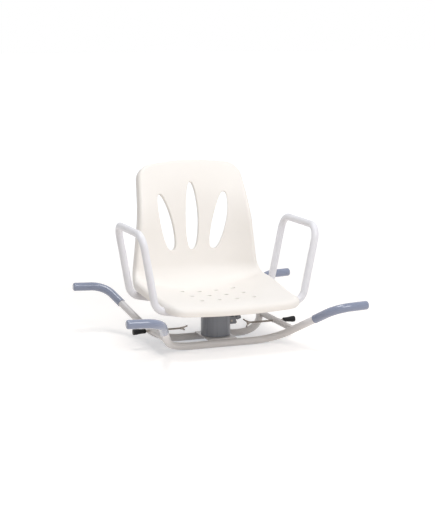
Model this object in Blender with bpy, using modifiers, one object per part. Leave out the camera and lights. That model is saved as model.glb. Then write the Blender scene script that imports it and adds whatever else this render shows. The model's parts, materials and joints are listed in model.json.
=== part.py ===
"""Swivel bath chair.

A moulded seat with two tube arms turns on a column, which stands on a plate
between two bent tubes.  The tubes' sleeved ends rest on the rims of a bath, and
two screws with rubber tips clamp the frame between the bath's walls.

Metres, +Z up, the seat faces -Y, and the swivel axis is the Z axis.
"""
import math

import bmesh
import bpy
from mathutils import Matrix, Vector

# Clearances
GAP = 0.0003
HOLE_PLAY = 0.0005

# How finely round shapes are faceted
TUBE_SIDES = 12
TURNED_SIDES = 20
COLUMN_SIDES = 36
FASTENER_SIDES = 8
SCREW_SIDES = 12
HEXAGON = 6
BEND_STEPS = 4
CORNER_STEPS = 4
ARC_STEPS = 5
EDGE_STEPS = 2
SHARP_ANGLE = math.radians(35)
MERGE = 0.00001

# Frame tubes: two mirror-image bends
TUBE_R = 0.0111
TUBE_WALL = 0.0015
OVERALL_HALF_WIDTH = 0.365
GRIP_Y = 0.283
GRIP_Z = 0.140
GRIP_INNER_X = 0.265
GRIP_RISE = 0.004
GRIP_BEND_R = 0.065
RUN_Y = 0.0585
RUN_END_X = 0.165
RUN_BEND_R = 0.100

# Dipped sleeves on the tube ends
SLEEVE_WALL = 0.0020
SLEEVE_TIP = 0.0030
SLEEVE_ROUND = 0.0059
SLEEVE_ROUND_STEPS = 3
SLEEVE_ON_LEG = 0.092

# Braces and their screw bushes
BRACE_R = 0.0095
BRACE_WALL = 0.0015
BRACE_Z = 0.053
BUSH_R = 0.0060
BUSH_PROUD = 0.0025
BUSH_SIDES = 16

# Clamp screws and rubber tips
SCREW_R = 0.0030
SCREW_WING_X = 0.112
SCREW_IN_PAD = 0.024
WING_HUB_R = 0.0048
WING_HUB_LENGTH = 0.010
WING_HUB_TAPER = 0.75
WING_SPREAD = 0.0165
WING_LEAN = 0.0120
WING_THICK = 0.0026
WING_TIP_R = 0.0030
WING_TIP_TURN = math.pi / 8
WING_TILT = math.radians(35)
PAD_INNER_X = 0.2205
PAD_LENGTH = 0.0395
PAD_OUTER_R = 0.0092
PAD_INNER_R = 0.0068
PAD_ROUND = 0.0018

# Base plate and the fixed post
BASE_PLATE_X = 0.046
BASE_PLATE_Y = 0.0605
BASE_PLATE_THICK = 0.003
BASE_PLATE_CORNER_R = 0.003
SPINDLE_R = 0.0125
SPINDLE_TOP_Z = 0.1200
SPINDLE_BORE_DEPTH = 0.028
INDEX_HUB_R = 0.0200
INDEX_HUB_HEIGHT = 0.0057
INDEX_R = 0.0330
INDEX_THICK = 0.0060
NOTCH_WIDTH = 0.0078
NOTCH_DEPTH = 0.0068
NOTCHES = 4
THRUST_R = 0.0220
THRUST_THICK = 0.0015
RETAINER_R = 0.0225
RETAINER_THICK = 0.0025
RETAINER_BOLT_R = 0.0050
RETAINER_HEAD_R = 0.0095
RETAINER_HEAD_HEIGHT = 0.0062
RETAINER_PLAY = 0.0005

# Turning column
HOUSING_R = 0.0446
HOUSING_WALL = 0.0035
HOUSING_BOTTOM_PLAY = 0.0008
HUB_WALL = 0.0040
HUB_BORE_R = 0.0165
WEB_THICK = 0.0060
RECESS_R = 0.0260
SHELF_THICK = 0.0040
SHELF_R = 0.0295
BUSH_LENGTH = 0.0140
SEAT_BUSH_FROM_END = 0.0005

# Swivel plate under the seat
SWIVEL_PLATE_Z = 0.1311
SWIVEL_PLATE_THICK = 0.0040
SWIVEL_PLATE_X = 0.0750
SWIVEL_PLATE_Y = 0.0850
SWIVEL_PLATE_CORNER_R = 0.0150
ACCESS_HOLE_R = 0.0140
HOUSING_SCREW_R = 0.0025
HOUSING_SCREW_HEAD_R = 0.0045
HOUSING_SCREW_HEAD = 0.0024
HOUSING_SCREW_OUT = 0.0248
HOUSING_SCREW_DEPTH = 0.0045
PLATE_BOLT_X = 0.0540
PLATE_BOLT_Y = 0.0660

# Bolts into the seat's bosses
BOLT_R = 0.0030
BOLT_HEAD_R = 0.0058
BOLT_HEAD = 0.0026
PLATE_BOLT_SHANK = 0.0120
ARM_BOLT_SHANK = 0.0290
BOSS_R = 0.0095
BOSS_SIDES = 16

# Arms: one bent tube each, ends turned in under the seat
ARM_FRONT_RUN_Z = 0.1265
ARM_REAR_RUN_Z = 0.1240
ARM_RUN_INNER_X = 0.0400
ARM_RUN_OUTER_X = 0.1500
ARM_LOW_X = 0.2290
ARM_LOW_Z = 0.1395
ARM_TOP_X = 0.2700
ARM_TOP_Z = 0.3590
ARM_FRONT_LOW_Y = -0.1255
ARM_FRONT_TOP_Y = -0.1340
ARM_REAR_LOW_Y = 0.1207
ARM_REAR_TOP_Y = 0.1120
ARM_RUN_BEND_R = 0.080
ARM_LOW_BEND_R = 0.040
ARM_TOP_BEND_R = 0.040
ARM_BEND_STEPS = 4
ARM_BOLT_INNER_X = 0.0540
ARM_BOLT_OUTER_X = 0.1080
PLUG_FLANGE = 0.0020
PLUG_DEPTH = 0.0090
PLUG_LEAD = 0.0020
PLUG_TAPER = 0.0005

# Seat shell, along the middle from the front edge to the top
SHELL_WALL = 0.008
RIM_R = 0.010
RIM_BEND_STEPS = 3
RIM_DEPTH = 0.026
FRONT_RIM_DEPTH = 0.0285
FRONT_RIM_REACH = 0.120
SEAT_FRONT_Y = -0.203
PAN_Z_AT_AXIS = 0.1495
LIP_LENGTH = 0.040
LIP_ANGLE = math.radians(16)
PAN_SLOPE = math.radians(2.4)
PAN_END_Y = 0.125
CREASE_R = 0.072
LOW_LEAN = math.radians(1.5)
LOW_BACK_LENGTH = 0.110
TOP_LEAN = math.radians(22)
UPPER_BACK_LENGTH = 0.2045

# Seat shell, across
FRONT_HALF = 0.203
SEAT_HALF = 0.214
HIP_HALF = 0.200
TOP_HALF = 0.166
FRONT_CORNER_R = 0.037
TOP_CORNER_R = 0.042
FRONT_BOW = 0.006
FRONT_BOW_SHARE = 1 / 6
TOP_CROWN = 0.010
TOP_CROWN_SHARE = 1 / 4
WRAP_FRONT = 0.004
WRAP_HIP = 0.045
WRAP_TOP = 0.008
WRAP_POWER = 2.4

# Mesh rows and columns of the shell
SHELL_COLUMNS = 14
CORNER_ROWS = 4
PAN_ROWS = 5
CREASE_ROWS = 6
LOW_BACK_ROWS = 3
UPPER_BACK_ROWS = 4
AT_SIDE_EDGE = 0.999

# Openings in the shell
PETAL_HALF = 0.0207
PETAL_BLUNT = 0.42
PETAL_WIDEST = 0.42
PETAL_STEPS = 11
PETAL_BOTTOM_Z = 0.2545
CENTRE_PETAL_TOP_Z = 0.4630
SIDE_PETAL_BOTTOM_X = 0.0666
SIDE_PETAL_TOP_X = 0.1060
SIDE_PETAL_TOP_Z = 0.4310
BACK_Y = 0.200
BACK_REACH = 0.160
DRAIN_R = 0.0075
DRAIN_SIDES = 12
DRAIN_TOP_Z = 0.190
DRAIN_PITCH_X = 0.0544
DRAIN_COLUMNS = 4
DRAIN_ROWS_Y = (0.065, -0.021, -0.105)

# Lock lever on the column's right side
LEVER_PIVOT_X = 0.0475
LEVER_PIVOT_Z = 0.0660
LEVER_LIFT = math.radians(12)
LEVER_THICK = 0.0070
LEVER_BOSS_R = 0.0055
LEVER_PIN_R = 0.0020
LEVER_PIN_HEAD_R = 0.0036
LEVER_PIN_HEAD = 0.0010
LEVER_SLOT_PLAY = 0.0007
LEVER_WINDOW_PLAY = 0.0020
TOOTH_INNER_R = 0.0275
TOOTH_THICK = 0.0050
TOOTH_BELOW_DISC = 0.0005
LEVER_ARM_HEIGHT = 0.0070
TANG_HEIGHT = 0.0040
TANG_ANGLE = math.radians(6)
TANG_LENGTH = 0.0265
KNOB_START = 0.0175
KNOB_LENGTH = 0.0160
KNOB_WIDTH = 0.0180
KNOB_HEIGHT = 0.0120
KNOB_ROUND = 0.0030
KNOB_EDGE_STEPS = 3

# The lever's bracket
BRACKET_HALF_WIDTH = 0.0125
BRACKET_FACE_X = 0.0620
BRACKET_BOTTOM_Z = 0.0560
BRACKET_TOP_Z = 0.0770
BRACKET_FLOOR = 0.0032
BRACKET_ROUND = 0.0012
BRACKET_SCREW_Y = 0.0086
BRACKET_SCREW_Z = 0.0606
BRACKET_SCREW_R = 0.0020
BRACKET_SCREW_HEAD_R = 0.0040
BRACKET_SCREW_HEAD = 0.0018

# Heights and places that follow from the sizes above
BASE_PLATE_Z = 2 * TUBE_R + GAP
BASE_TOP_Z = BASE_PLATE_Z + BASE_PLATE_THICK
POST_FOOT_Z = BASE_TOP_Z + GAP
INDEX_Z = POST_FOOT_Z + INDEX_HUB_HEIGHT
INDEX_TOP_Z = INDEX_Z + INDEX_THICK
THRUST_Z = INDEX_TOP_Z + GAP
HUB_BOTTOM_Z = THRUST_Z + THRUST_THICK + GAP
RETAINER_Z = SPINDLE_TOP_Z + GAP
RETAINER_TOP_Z = RETAINER_Z + RETAINER_THICK
SHELF_Z = SPINDLE_TOP_Z - RETAINER_PLAY
HOUSING_TOP_Z = SWIVEL_PLATE_Z - GAP
HOUSING_BOTTOM_Z = BASE_TOP_Z + HOUSING_BOTTOM_PLAY
HOUSING_INNER_R = HOUSING_R - HOUSING_WALL
HUB_OUTER_R = HUB_BORE_R + HUB_WALL
SWIVEL_PLATE_TOP_Z = SWIVEL_PLATE_Z + SWIVEL_PLATE_THICK
LEG_SHARE = (BRACE_Z - TUBE_R) / (GRIP_Z - TUBE_R)
BRACE_X = RUN_END_X + LEG_SHARE * (GRIP_INNER_X - RUN_END_X)
BRACE_END_Y = RUN_Y + LEG_SHARE * (GRIP_Y - RUN_Y)
FACET = math.cos(math.pi / TUBE_SIDES)
AROUND_TUBE_R = (TUBE_R + GAP) / FACET
SLEEVE_R = TUBE_R + SLEEVE_WALL
LEVER_SLOT_HALF = LEVER_THICK / 2 + LEVER_SLOT_PLAY

# Well past a face that a cutter has to go through
CLEAR = 0.005

# Size of the cross that marks a joint's axis
AXIS_MARK = 0.03

# Looks: colour as sRGB hex, roughness and metallic
WHITE_TUBE = ("E6E6EC", 0.35, 0.0)
BLUE_GREY = ("8D95B5", 0.38, 0.0)
SEAT_WHITE = ("F6F1E9", 0.42, 0.0)
COLUMN_GREY = ("75777E", 0.45, 0.0)
LEVER_GREY = ("5C5E62", 0.48, 0.0)
RUBBER_BLACK = ("1B1B1E", 0.60, 0.0)
ZINC = ("8A8379", 0.40, 0.8)
STEEL = ("A6A8AB", 0.40, 0.9)
NYLON = ("D9D6CC", 0.40, 0.0)

SIDES = (("left", -1), ("right", 1))
ENDS = (("front", -1), ("rear", 1))


def linear(hex_colour):
    """An sRGB hex colour as linear red, green, blue and alpha."""
    values = []
    for start in (0, 2, 4):
        value = int(hex_colour[start:start + 2], 16) / 255
        high = ((value + 0.055) / 1.055) ** 2.4
        values.append(value / 12.92 if value <= 0.04045 else high)
    return (*values, 1.0)


def paint(mesh, name, look):
    """Smooth shading and one Principled material."""
    hex_colour, roughness, metallic = look
    material = bpy.data.materials.new(name)
    material.use_nodes = True
    shader = material.node_tree.nodes["Principled BSDF"]
    shader.inputs["Base Color"].default_value = linear(hex_colour)
    shader.inputs["Roughness"].default_value = roughness
    shader.inputs["Metallic"].default_value = metallic
    material.diffuse_color = linear(hex_colour)
    mesh.materials.clear()
    mesh.materials.append(material)
    mesh.shade_smooth()
    mesh.set_sharp_from_angle(angle=SHARP_ANGLE)


def clear_scene():
    """Take away whatever the scene holds."""
    for old in list(bpy.data.objects):
        bpy.data.objects.remove(old)


clear_scene()
PARTS = bpy.data.collections.new("swivel_bath_chair")
CUTTERS = bpy.data.collections.new("cutters")
bpy.context.scene.collection.children.link(PARTS)
bpy.context.scene.collection.children.link(CUTTERS)


def axis_empty(name, location, parent=None):
    """An empty on a joint's axis, which the moving pieces hang from."""
    made = bpy.data.objects.new(name, None)
    made.location = location
    made.empty_display_size = AXIS_MARK
    PARTS.objects.link(made)
    made.parent = parent
    return made


def finish(made, look, parent=None):
    """Paint a piece and hang it from its body's axis."""
    paint(made.data, made.name, look)
    made.parent = parent


def mesh_object(name, shape, cutter=False):
    """An object from a bmesh, which is then freed."""
    mesh = bpy.data.meshes.new(name)
    shape.to_mesh(mesh)
    shape.free()
    made = bpy.data.objects.new(name, mesh)
    if cutter:
        made.hide_render = True
        made.display_type = "WIRE"
        CUTTERS.objects.link(made)
    else:
        PARTS.objects.link(made)
    return made


def shown_shape(source):
    """What an object shows, in world space, its doubles merged; the object is removed."""
    bpy.context.view_layer.update()
    evaluated = source.evaluated_get(bpy.context.evaluated_depsgraph_get())
    mesh = bpy.data.meshes.new_from_object(evaluated)
    shape = bmesh.new()
    shape.from_mesh(mesh)
    bpy.data.meshes.remove(mesh)
    bmesh.ops.remove_doubles(shape, verts=shape.verts, dist=MERGE)
    bmesh.ops.recalc_face_normals(shape, faces=shape.faces)
    shape.transform(source.matrix_world)
    bpy.data.objects.remove(source)
    return shape


def frozen(source, cutter=False):
    """Turn a curve, or a mesh with modifiers, into a plain mesh object of the same name."""
    name = source.name
    return mesh_object(name, shown_shape(source), cutter)


def cut(target, cutter, operation="DIFFERENCE"):
    """A Boolean modifier with the exact solver."""
    modifier = target.modifiers.new(cutter.name, "BOOLEAN")
    modifier.operation = operation
    modifier.object = cutter
    modifier.solver = "EXACT"


def rod(name, radius, start, end, sides=TURNED_SIDES, end_radius=None, cutter=False):
    """A closed cylinder or cone from one point to another."""
    along = Vector(end) - Vector(start)
    middle = (Vector(start) + Vector(end)) / 2
    turn = along.to_track_quat("Z", "Y").to_matrix().to_4x4()
    shape = bmesh.new()
    bmesh.ops.create_cone(shape, cap_ends=True, segments=sides, radius1=radius,
                          radius2=radius if end_radius is None else end_radius,
                          depth=along.length, matrix=Matrix.Translation(middle) @ turn)
    return mesh_object(name, shape, cutter)


def block(name, low, high, cutter=False):
    """A closed box between two corners."""
    shape = bmesh.new()
    bmesh.ops.create_cube(shape, size=1.0)
    bmesh.ops.scale(shape, vec=Vector(high) - Vector(low), verts=shape.verts)
    bmesh.ops.translate(shape, vec=(Vector(low) + Vector(high)) / 2, verts=shape.verts)
    return mesh_object(name, shape, cutter)


def turned(name, profile, sides=TURNED_SIDES):
    """Turn (radius, height) points about Z, top to bottom on the outer side.

    A profile that stays off the axis is closed into a ring.
    """
    shape = bmesh.new()
    points = [shape.verts.new((radius, 0, height)) for radius, height in profile]
    for first, second in zip(points, points[1:]):
        shape.edges.new((first, second))
    if profile[0][0] > 0:
        shape.edges.new((points[-1], points[0]))
    made = mesh_object(name, shape)
    screw = made.modifiers.new("turn", "SCREW")
    screw.steps = sides
    screw.render_steps = sides
    screw.use_merge_vertices = True
    screw.merge_threshold = MERGE
    return made


def ring(name, inner_r, outer_r, low, high, sides=TURNED_SIDES):
    """A plain ring about Z."""
    return turned(name, [(outer_r, high), (outer_r, low), (inner_r, low), (inner_r, high)], sides)


def flat_solid(name, outline, thickness, cutter=False):
    """A flat piece from a closed outline of (x, y) points, its middle at z = 0."""
    data = bpy.data.curves.new(name, "CURVE")
    data.dimensions = "2D"
    data.fill_mode = "BOTH"
    data.extrude = thickness / 2
    spline = data.splines.new("POLY")
    spline.points.add(len(outline) - 1)
    for point, (x, y) in zip(spline.points, outline):
        point.co = (x, y, 0, 1)
    spline.use_cyclic_u = True
    made = bpy.data.objects.new(name, data)
    PARTS.objects.link(made)
    return frozen(made, cutter)


def arc(radius, start, end, steps=ARC_STEPS, centre=(0, 0)):
    """Points (x, y) of an arc about a centre, from one angle to another."""
    angles = [start + (end - start) * step / steps for step in range(steps + 1)]
    return [(centre[0] + radius * math.cos(angle), centre[1] + radius * math.sin(angle))
            for angle in angles]


def rounded_rectangle(half_x, half_y, radius):
    """Points of a rectangle with round corners, anticlockwise."""
    points = []
    for quarter, (sign_x, sign_y) in enumerate(((1, 1), (-1, 1), (-1, -1), (1, -1))):
        start = math.pi / 2 * quarter
        centre = (sign_x * (half_x - radius), sign_y * (half_y - radius))
        points += arc(radius, start, start + math.pi / 2, CORNER_STEPS, centre)
    return points


def plate(name, half_x, half_y, corner_r, thickness, z):
    """A flat plate about the Z axis with its underside at z."""
    made = flat_solid(name, rounded_rectangle(half_x, half_y, corner_r), thickness)
    made.location.z = z + thickness / 2
    return made


def filleted(corners, radii, steps):
    """A path of points with each inner corner rounded by an arc."""
    corners = [Vector(corner) for corner in corners]
    path = [corners[0]]
    for before, corner, after, radius in zip(corners, corners[1:], corners[2:], radii):
        back = (before - corner).normalized()
        onward = (after - corner).normalized()
        half = back.angle(onward) / 2
        centre = corner + (back + onward).normalized() * radius / math.sin(half)
        start = corner + back * radius / math.tan(half) - centre
        end = corner + onward * radius / math.tan(half) - centre
        for step in range(steps + 1):
            turn = Matrix.Rotation(start.angle(end) * step / steps, 3, start.cross(end))
            path.append(centre + turn @ start)
    path.append(corners[-1])
    return path


def tube(name, path, radius, wall=None, shares=None, cutter=False):
    """A tube along a path, hollow if it has a wall; shares thin it at each point."""
    data = bpy.data.curves.new(name, "CURVE")
    data.dimensions = "3D"
    data.bevel_depth = radius
    data.bevel_resolution = TUBE_SIDES // 2 - 2
    data.use_fill_caps = wall is None
    spline = data.splines.new("POLY")
    spline.points.add(len(path) - 1)
    for index, place in enumerate(path):
        spline.points[index].co = (*place, 1)
        spline.points[index].radius = shares[index] if shares else 1
    made = bpy.data.objects.new(name, data)
    PARTS.objects.link(made)
    if wall is not None:
        solid = made.modifiers.new("wall", "SOLIDIFY")
        solid.thickness = wall
        solid.offset = -1
    return frozen(made, cutter)


def bolt(shank_r, head_r, head, shank):
    """A hexagon bolt on the Z axis, its head below z = 0 and its shank above."""
    made = rod("bolt", head_r, (0, 0, -head), (0, 0, 0), HEXAGON)
    stem = rod("bolt_shank", shank_r, (0, 0, -head / 2), (0, 0, shank), FASTENER_SIDES, cutter=True)
    cut(made, stem, "UNION")
    shape = shown_shape(made)
    bpy.data.objects.remove(stem)
    return mesh_object("bolt", shape)


def copies(source, base_name, places, look, parent=None):
    """One object at each named place, all sharing the source's mesh and material."""
    mesh = source.data
    bpy.data.objects.remove(source)
    paint(mesh, base_name, look)
    for place_name, matrix in places:
        made = bpy.data.objects.new(base_name + "_" + place_name, mesh)
        PARTS.objects.link(made)
        made.matrix_world = matrix
        made.parent = parent


def hole_group(name, radius, places, low, high, sides=FASTENER_SIDES):
    """One cutter with an upright hole at each place."""
    shape = bmesh.new()
    for place_name, matrix in places:
        middle = matrix.copy()
        middle.translation.z = (low + high) / 2
        bmesh.ops.create_cone(shape, cap_ends=True, segments=sides, radius1=radius,
                              radius2=radius, depth=high - low, matrix=middle)
    return mesh_object(name, shape, cutter=True)


def four_places(x, y, z):
    """The four mirrored places of one point, with a name and a matrix for each."""
    return [(end + "_" + side, Matrix.Translation((sign_x * x, sign_y * y, z)))
            for end, sign_y in ENDS for side, sign_x in SIDES]


def frame_corners(sign_y, tip_x):
    """The corners of one frame tube from its left tip to its right tip."""
    tip = (tip_x, sign_y * GRIP_Y, GRIP_Z + GRIP_RISE)
    grip = (GRIP_INNER_X, sign_y * GRIP_Y, GRIP_Z)
    run = (RUN_END_X, sign_y * RUN_Y, TUBE_R)
    left = [(-x, y, z) for x, y, z in (tip, grip, run)]
    return left + [run, grip, tip]


def frame_path(sign_y, tip_x):
    """The centre line of one frame tube."""
    radii = [GRIP_BEND_R, RUN_BEND_R, RUN_BEND_R, GRIP_BEND_R]
    return filleted(frame_corners(sign_y, tip_x), radii, BEND_STEPS)


def make_sleeve(name, sign_x, sign_y):
    """A dipped sleeve over a tube's end, its tip closed and round."""
    tip = Vector((sign_x * OVERALL_HALF_WIDTH, sign_y * GRIP_Y, GRIP_Z + GRIP_RISE))
    grip = Vector((sign_x * GRIP_INNER_X, sign_y * GRIP_Y, GRIP_Z))
    run = Vector((sign_x * RUN_END_X, sign_y * RUN_Y, TUBE_R))
    inward = (grip - tip).normalized()
    down = (run - grip).normalized()
    path = filleted([tip, grip, grip + down * SLEEVE_ON_LEG], [GRIP_BEND_R], BEND_STEPS)
    nose = []
    nose_shares = []
    for step in range(SLEEVE_ROUND_STEPS, -1, -1):
        angle = math.pi / 2 * step / SLEEVE_ROUND_STEPS
        nose.append(tip + inward * SLEEVE_ROUND * (1 - math.sin(angle)))
        nose_shares.append(1 - SLEEVE_ROUND / SLEEVE_R * (1 - math.cos(angle)))
    body = path[1:]
    made = tube(name, nose + body, SLEEVE_R, shares=nose_shares + [1] * len(body))
    bore_corners = [tip + inward * SLEEVE_TIP, grip, grip + down * (SLEEVE_ON_LEG + CLEAR)]
    bore_path = filleted(bore_corners, [GRIP_BEND_R], BEND_STEPS)
    cut(made, tube(name + "_bore", bore_path, AROUND_TUBE_R, cutter=True))
    finish(made, BLUE_GREY)


def make_brace(side, sign_x, leg_cutters):
    """A brace between the legs, coped to them, and the bush for its clamp screw."""
    x = sign_x * BRACE_X
    ends = [(x, -BRACE_END_Y, BRACE_Z), (x, BRACE_END_Y, BRACE_Z)]
    brace = tube(side + "_brace", ends, BRACE_R, BRACE_WALL)
    for leg_cutter in leg_cutters:
        cut(brace, leg_cutter)
    reach = BRACE_R + BUSH_PROUD
    hole = rod(side + "_bush_hole", BUSH_R + GAP, (x - reach, 0, BRACE_Z), (x + reach, 0, BRACE_Z),
               BUSH_SIDES, cutter=True)
    cut(brace, hole)
    finish(brace, WHITE_TUBE)
    bush = ring(side + "_screw_bush", SCREW_R + GAP, BUSH_R, -reach, reach, BUSH_SIDES)
    bush.location = (x, 0, BRACE_Z)
    bush.rotation_euler.y = math.pi / 2
    finish(bush, WHITE_TUBE)


def make_frame():
    """The tubes, sleeves, braces and base plate."""
    leg_cutters = []
    tube_tip_x = OVERALL_HALF_WIDTH - SLEEVE_TIP - GAP
    for end, sign_y in ENDS:
        path = frame_path(sign_y, tube_tip_x)
        finish(tube(end + "_tube", path, TUBE_R, TUBE_WALL), WHITE_TUBE)
        leg_cutters.append(tube(end + "_tube_cutter", path, AROUND_TUBE_R, cutter=True))
        for side, sign_x in SIDES:
            make_sleeve("grip_sleeve_" + end + "_" + side, sign_x, sign_y)
    for side, sign_x in SIDES:
        make_brace(side, sign_x, leg_cutters)
    base = plate("base_plate", BASE_PLATE_X, BASE_PLATE_Y, BASE_PLATE_CORNER_R,
                 BASE_PLATE_THICK, BASE_PLATE_Z)
    finish(base, WHITE_TUBE)


def make_post():
    """The fixed post with its index disc, thrust washer and retaining bolt."""
    bore_r = RETAINER_BOLT_R + GAP
    bore_z = SPINDLE_TOP_Z - SPINDLE_BORE_DEPTH
    spindle = rod("spindle", SPINDLE_R, (0, 0, POST_FOOT_Z), (0, 0, SPINDLE_TOP_Z))
    cut(spindle, rod("spindle_bore", bore_r, (0, 0, bore_z), (0, 0, SPINDLE_TOP_Z + CLEAR),
                     cutter=True))
    finish(spindle, STEEL)
    fit_r = SPINDLE_R + GAP
    disc = turned("index_disc", [(INDEX_R, INDEX_TOP_Z), (INDEX_R, INDEX_Z),
                                 (INDEX_HUB_R, INDEX_Z), (INDEX_HUB_R, POST_FOOT_Z),
                                 (fit_r, POST_FOOT_Z), (fit_r, INDEX_TOP_Z)], COLUMN_SIDES)
    for index in range(NOTCHES):
        low = (INDEX_R - NOTCH_DEPTH, -NOTCH_WIDTH / 2, INDEX_Z - CLEAR)
        high = (INDEX_R + CLEAR, NOTCH_WIDTH / 2, INDEX_TOP_Z + CLEAR)
        notch = block("notch_%d" % index, low, high, cutter=True)
        notch.rotation_euler.z = 2 * math.pi * index / NOTCHES
        cut(disc, notch)
    finish(disc, STEEL)
    thrust = ring("thrust_washer", fit_r, THRUST_R, THRUST_Z, THRUST_Z + THRUST_THICK)
    finish(thrust, NYLON)
    retainer = ring("retaining_washer", bore_r, RETAINER_R, RETAINER_Z, RETAINER_TOP_Z)
    finish(retainer, ZINC)
    shank = RETAINER_TOP_Z - bore_z - GAP
    made = bolt(RETAINER_BOLT_R, RETAINER_HEAD_R, RETAINER_HEAD_HEIGHT, shank)
    made.name = "retaining_bolt"
    made.rotation_euler.x = math.pi
    made.location.z = RETAINER_TOP_Z + GAP
    finish(made, ZINC)


def make_housing(seat_axis, screw_holes):
    """The turning column: outer wall, web with a recess, and the hub with its bushes."""
    web_z = HOUSING_TOP_Z - WEB_THICK
    shelf_low_z = SHELF_Z - SHELF_THICK
    profile = [(HOUSING_R, HOUSING_TOP_Z), (HOUSING_R, HOUSING_BOTTOM_Z),
               (HOUSING_INNER_R, HOUSING_BOTTOM_Z), (HOUSING_INNER_R, web_z), (SHELF_R, web_z),
               (SHELF_R, shelf_low_z), (HUB_OUTER_R, shelf_low_z), (HUB_OUTER_R, HUB_BOTTOM_Z),
               (HUB_BORE_R, HUB_BOTTOM_Z), (HUB_BORE_R, SHELF_Z), (RECESS_R, SHELF_Z),
               (RECESS_R, HOUSING_TOP_Z)]
    housing = turned("swivel_housing", profile, COLUMN_SIDES)
    window = LEVER_BOSS_R + LEVER_WINDOW_PLAY
    slot_low = (HOUSING_INNER_R - CLEAR, -LEVER_SLOT_HALF, LEVER_PIVOT_Z - window)
    slot_high = (HOUSING_R + CLEAR, LEVER_SLOT_HALF, LEVER_PIVOT_Z + window)
    cut(housing, block("lever_window", slot_low, slot_high, cutter=True))
    cut(housing, screw_holes)
    for end, sign_y in ENDS:
        y = sign_y * BRACKET_SCREW_Y
        cut(housing, rod("bracket_hole_" + end, BRACKET_SCREW_R + GAP,
                         (HOUSING_INNER_R - CLEAR, y, BRACKET_SCREW_Z),
                         (HOUSING_R + CLEAR, y, BRACKET_SCREW_Z), FASTENER_SIDES, cutter=True))
    finish(housing, COLUMN_GREY, parent=seat_axis)
    bush_inner = SPINDLE_R + GAP
    bush_outer = HUB_BORE_R - GAP
    low = HUB_BOTTOM_Z + SEAT_BUSH_FROM_END
    lower = ring("lower_bush", bush_inner, bush_outer, low, low + BUSH_LENGTH)
    finish(lower, NYLON, parent=seat_axis)
    high = SHELF_Z - SEAT_BUSH_FROM_END
    upper = ring("upper_bush", bush_inner, bush_outer, high - BUSH_LENGTH, high)
    finish(upper, NYLON, parent=seat_axis)


def make_swivel_plate(seat_axis):
    """The steel plate between the column and the seat, and the screws of both."""
    places = four_places(HOUSING_SCREW_OUT, HOUSING_SCREW_OUT, SWIVEL_PLATE_TOP_Z + GAP)
    screw_foot_z = HOUSING_TOP_Z - HOUSING_SCREW_DEPTH
    screw_holes = hole_group("housing_screw_holes", HOUSING_SCREW_R + GAP, places,
                             screw_foot_z - GAP, SWIVEL_PLATE_TOP_Z + CLEAR)
    made = plate("swivel_plate", SWIVEL_PLATE_X, SWIVEL_PLATE_Y, SWIVEL_PLATE_CORNER_R,
                 SWIVEL_PLATE_THICK, SWIVEL_PLATE_Z)
    access = rod("access_hole", ACCESS_HOLE_R, (0, 0, SWIVEL_PLATE_Z - CLEAR),
                 (0, 0, SWIVEL_PLATE_TOP_Z + CLEAR), cutter=True)
    cut(made, access)
    cut(made, screw_holes)
    bolt_places = four_places(PLATE_BOLT_X, PLATE_BOLT_Y, SWIVEL_PLATE_Z - GAP)
    cut(made, hole_group("plate_bolt_holes", BOLT_R + GAP, bolt_places,
                         SWIVEL_PLATE_Z - CLEAR, SWIVEL_PLATE_TOP_Z + CLEAR))
    finish(made, STEEL, seat_axis)
    shank = SWIVEL_PLATE_TOP_Z + GAP - screw_foot_z
    screw = bolt(HOUSING_SCREW_R, HOUSING_SCREW_HEAD_R, HOUSING_SCREW_HEAD, shank)
    upside_down = Matrix.Rotation(math.pi, 4, "X")
    downward = [(name, place @ upside_down) for name, place in places]
    copies(screw, "housing_screw", downward, ZINC, seat_axis)
    plate_bolt = bolt(BOLT_R, BOLT_HEAD_R, BOLT_HEAD, PLATE_BOLT_SHANK)
    copies(plate_bolt, "plate_bolt", bolt_places, ZINC, seat_axis)
    return screw_holes


def arm_path(sign_x):
    """The centre line of one arm from its front inner end to its rear inner end."""
    corners = []
    for low_y, top_y, run_z in ((ARM_FRONT_LOW_Y, ARM_FRONT_TOP_Y, ARM_FRONT_RUN_Z),
                                (ARM_REAR_LOW_Y, ARM_REAR_TOP_Y, ARM_REAR_RUN_Z)):
        upward = [(sign_x * ARM_RUN_INNER_X, low_y, run_z),
                  (sign_x * ARM_RUN_OUTER_X, low_y, run_z),
                  (sign_x * ARM_LOW_X, low_y, ARM_LOW_Z),
                  (sign_x * ARM_TOP_X, top_y, ARM_TOP_Z)]
        corners += upward[::-1] if corners else upward
    radii = [ARM_RUN_BEND_R, ARM_LOW_BEND_R, ARM_TOP_BEND_R]
    return filleted(corners, radii + radii[::-1], ARM_BEND_STEPS)


def arm_bolt_places():
    """Where the bolts' heads meet the arms' undersides, with a name for each."""
    places = []
    for end, y, run_z in (("front", ARM_FRONT_LOW_Y, ARM_FRONT_RUN_Z),
                          ("rear", ARM_REAR_LOW_Y, ARM_REAR_RUN_Z)):
        for side, sign_x in SIDES:
            for reach, x in (("inner", ARM_BOLT_INNER_X), ("outer", ARM_BOLT_OUTER_X)):
                at = Matrix.Translation((sign_x * x, y, run_z - TUBE_R - GAP))
                places.append((end + "_" + side + "_" + reach, at))
    return places


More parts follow.
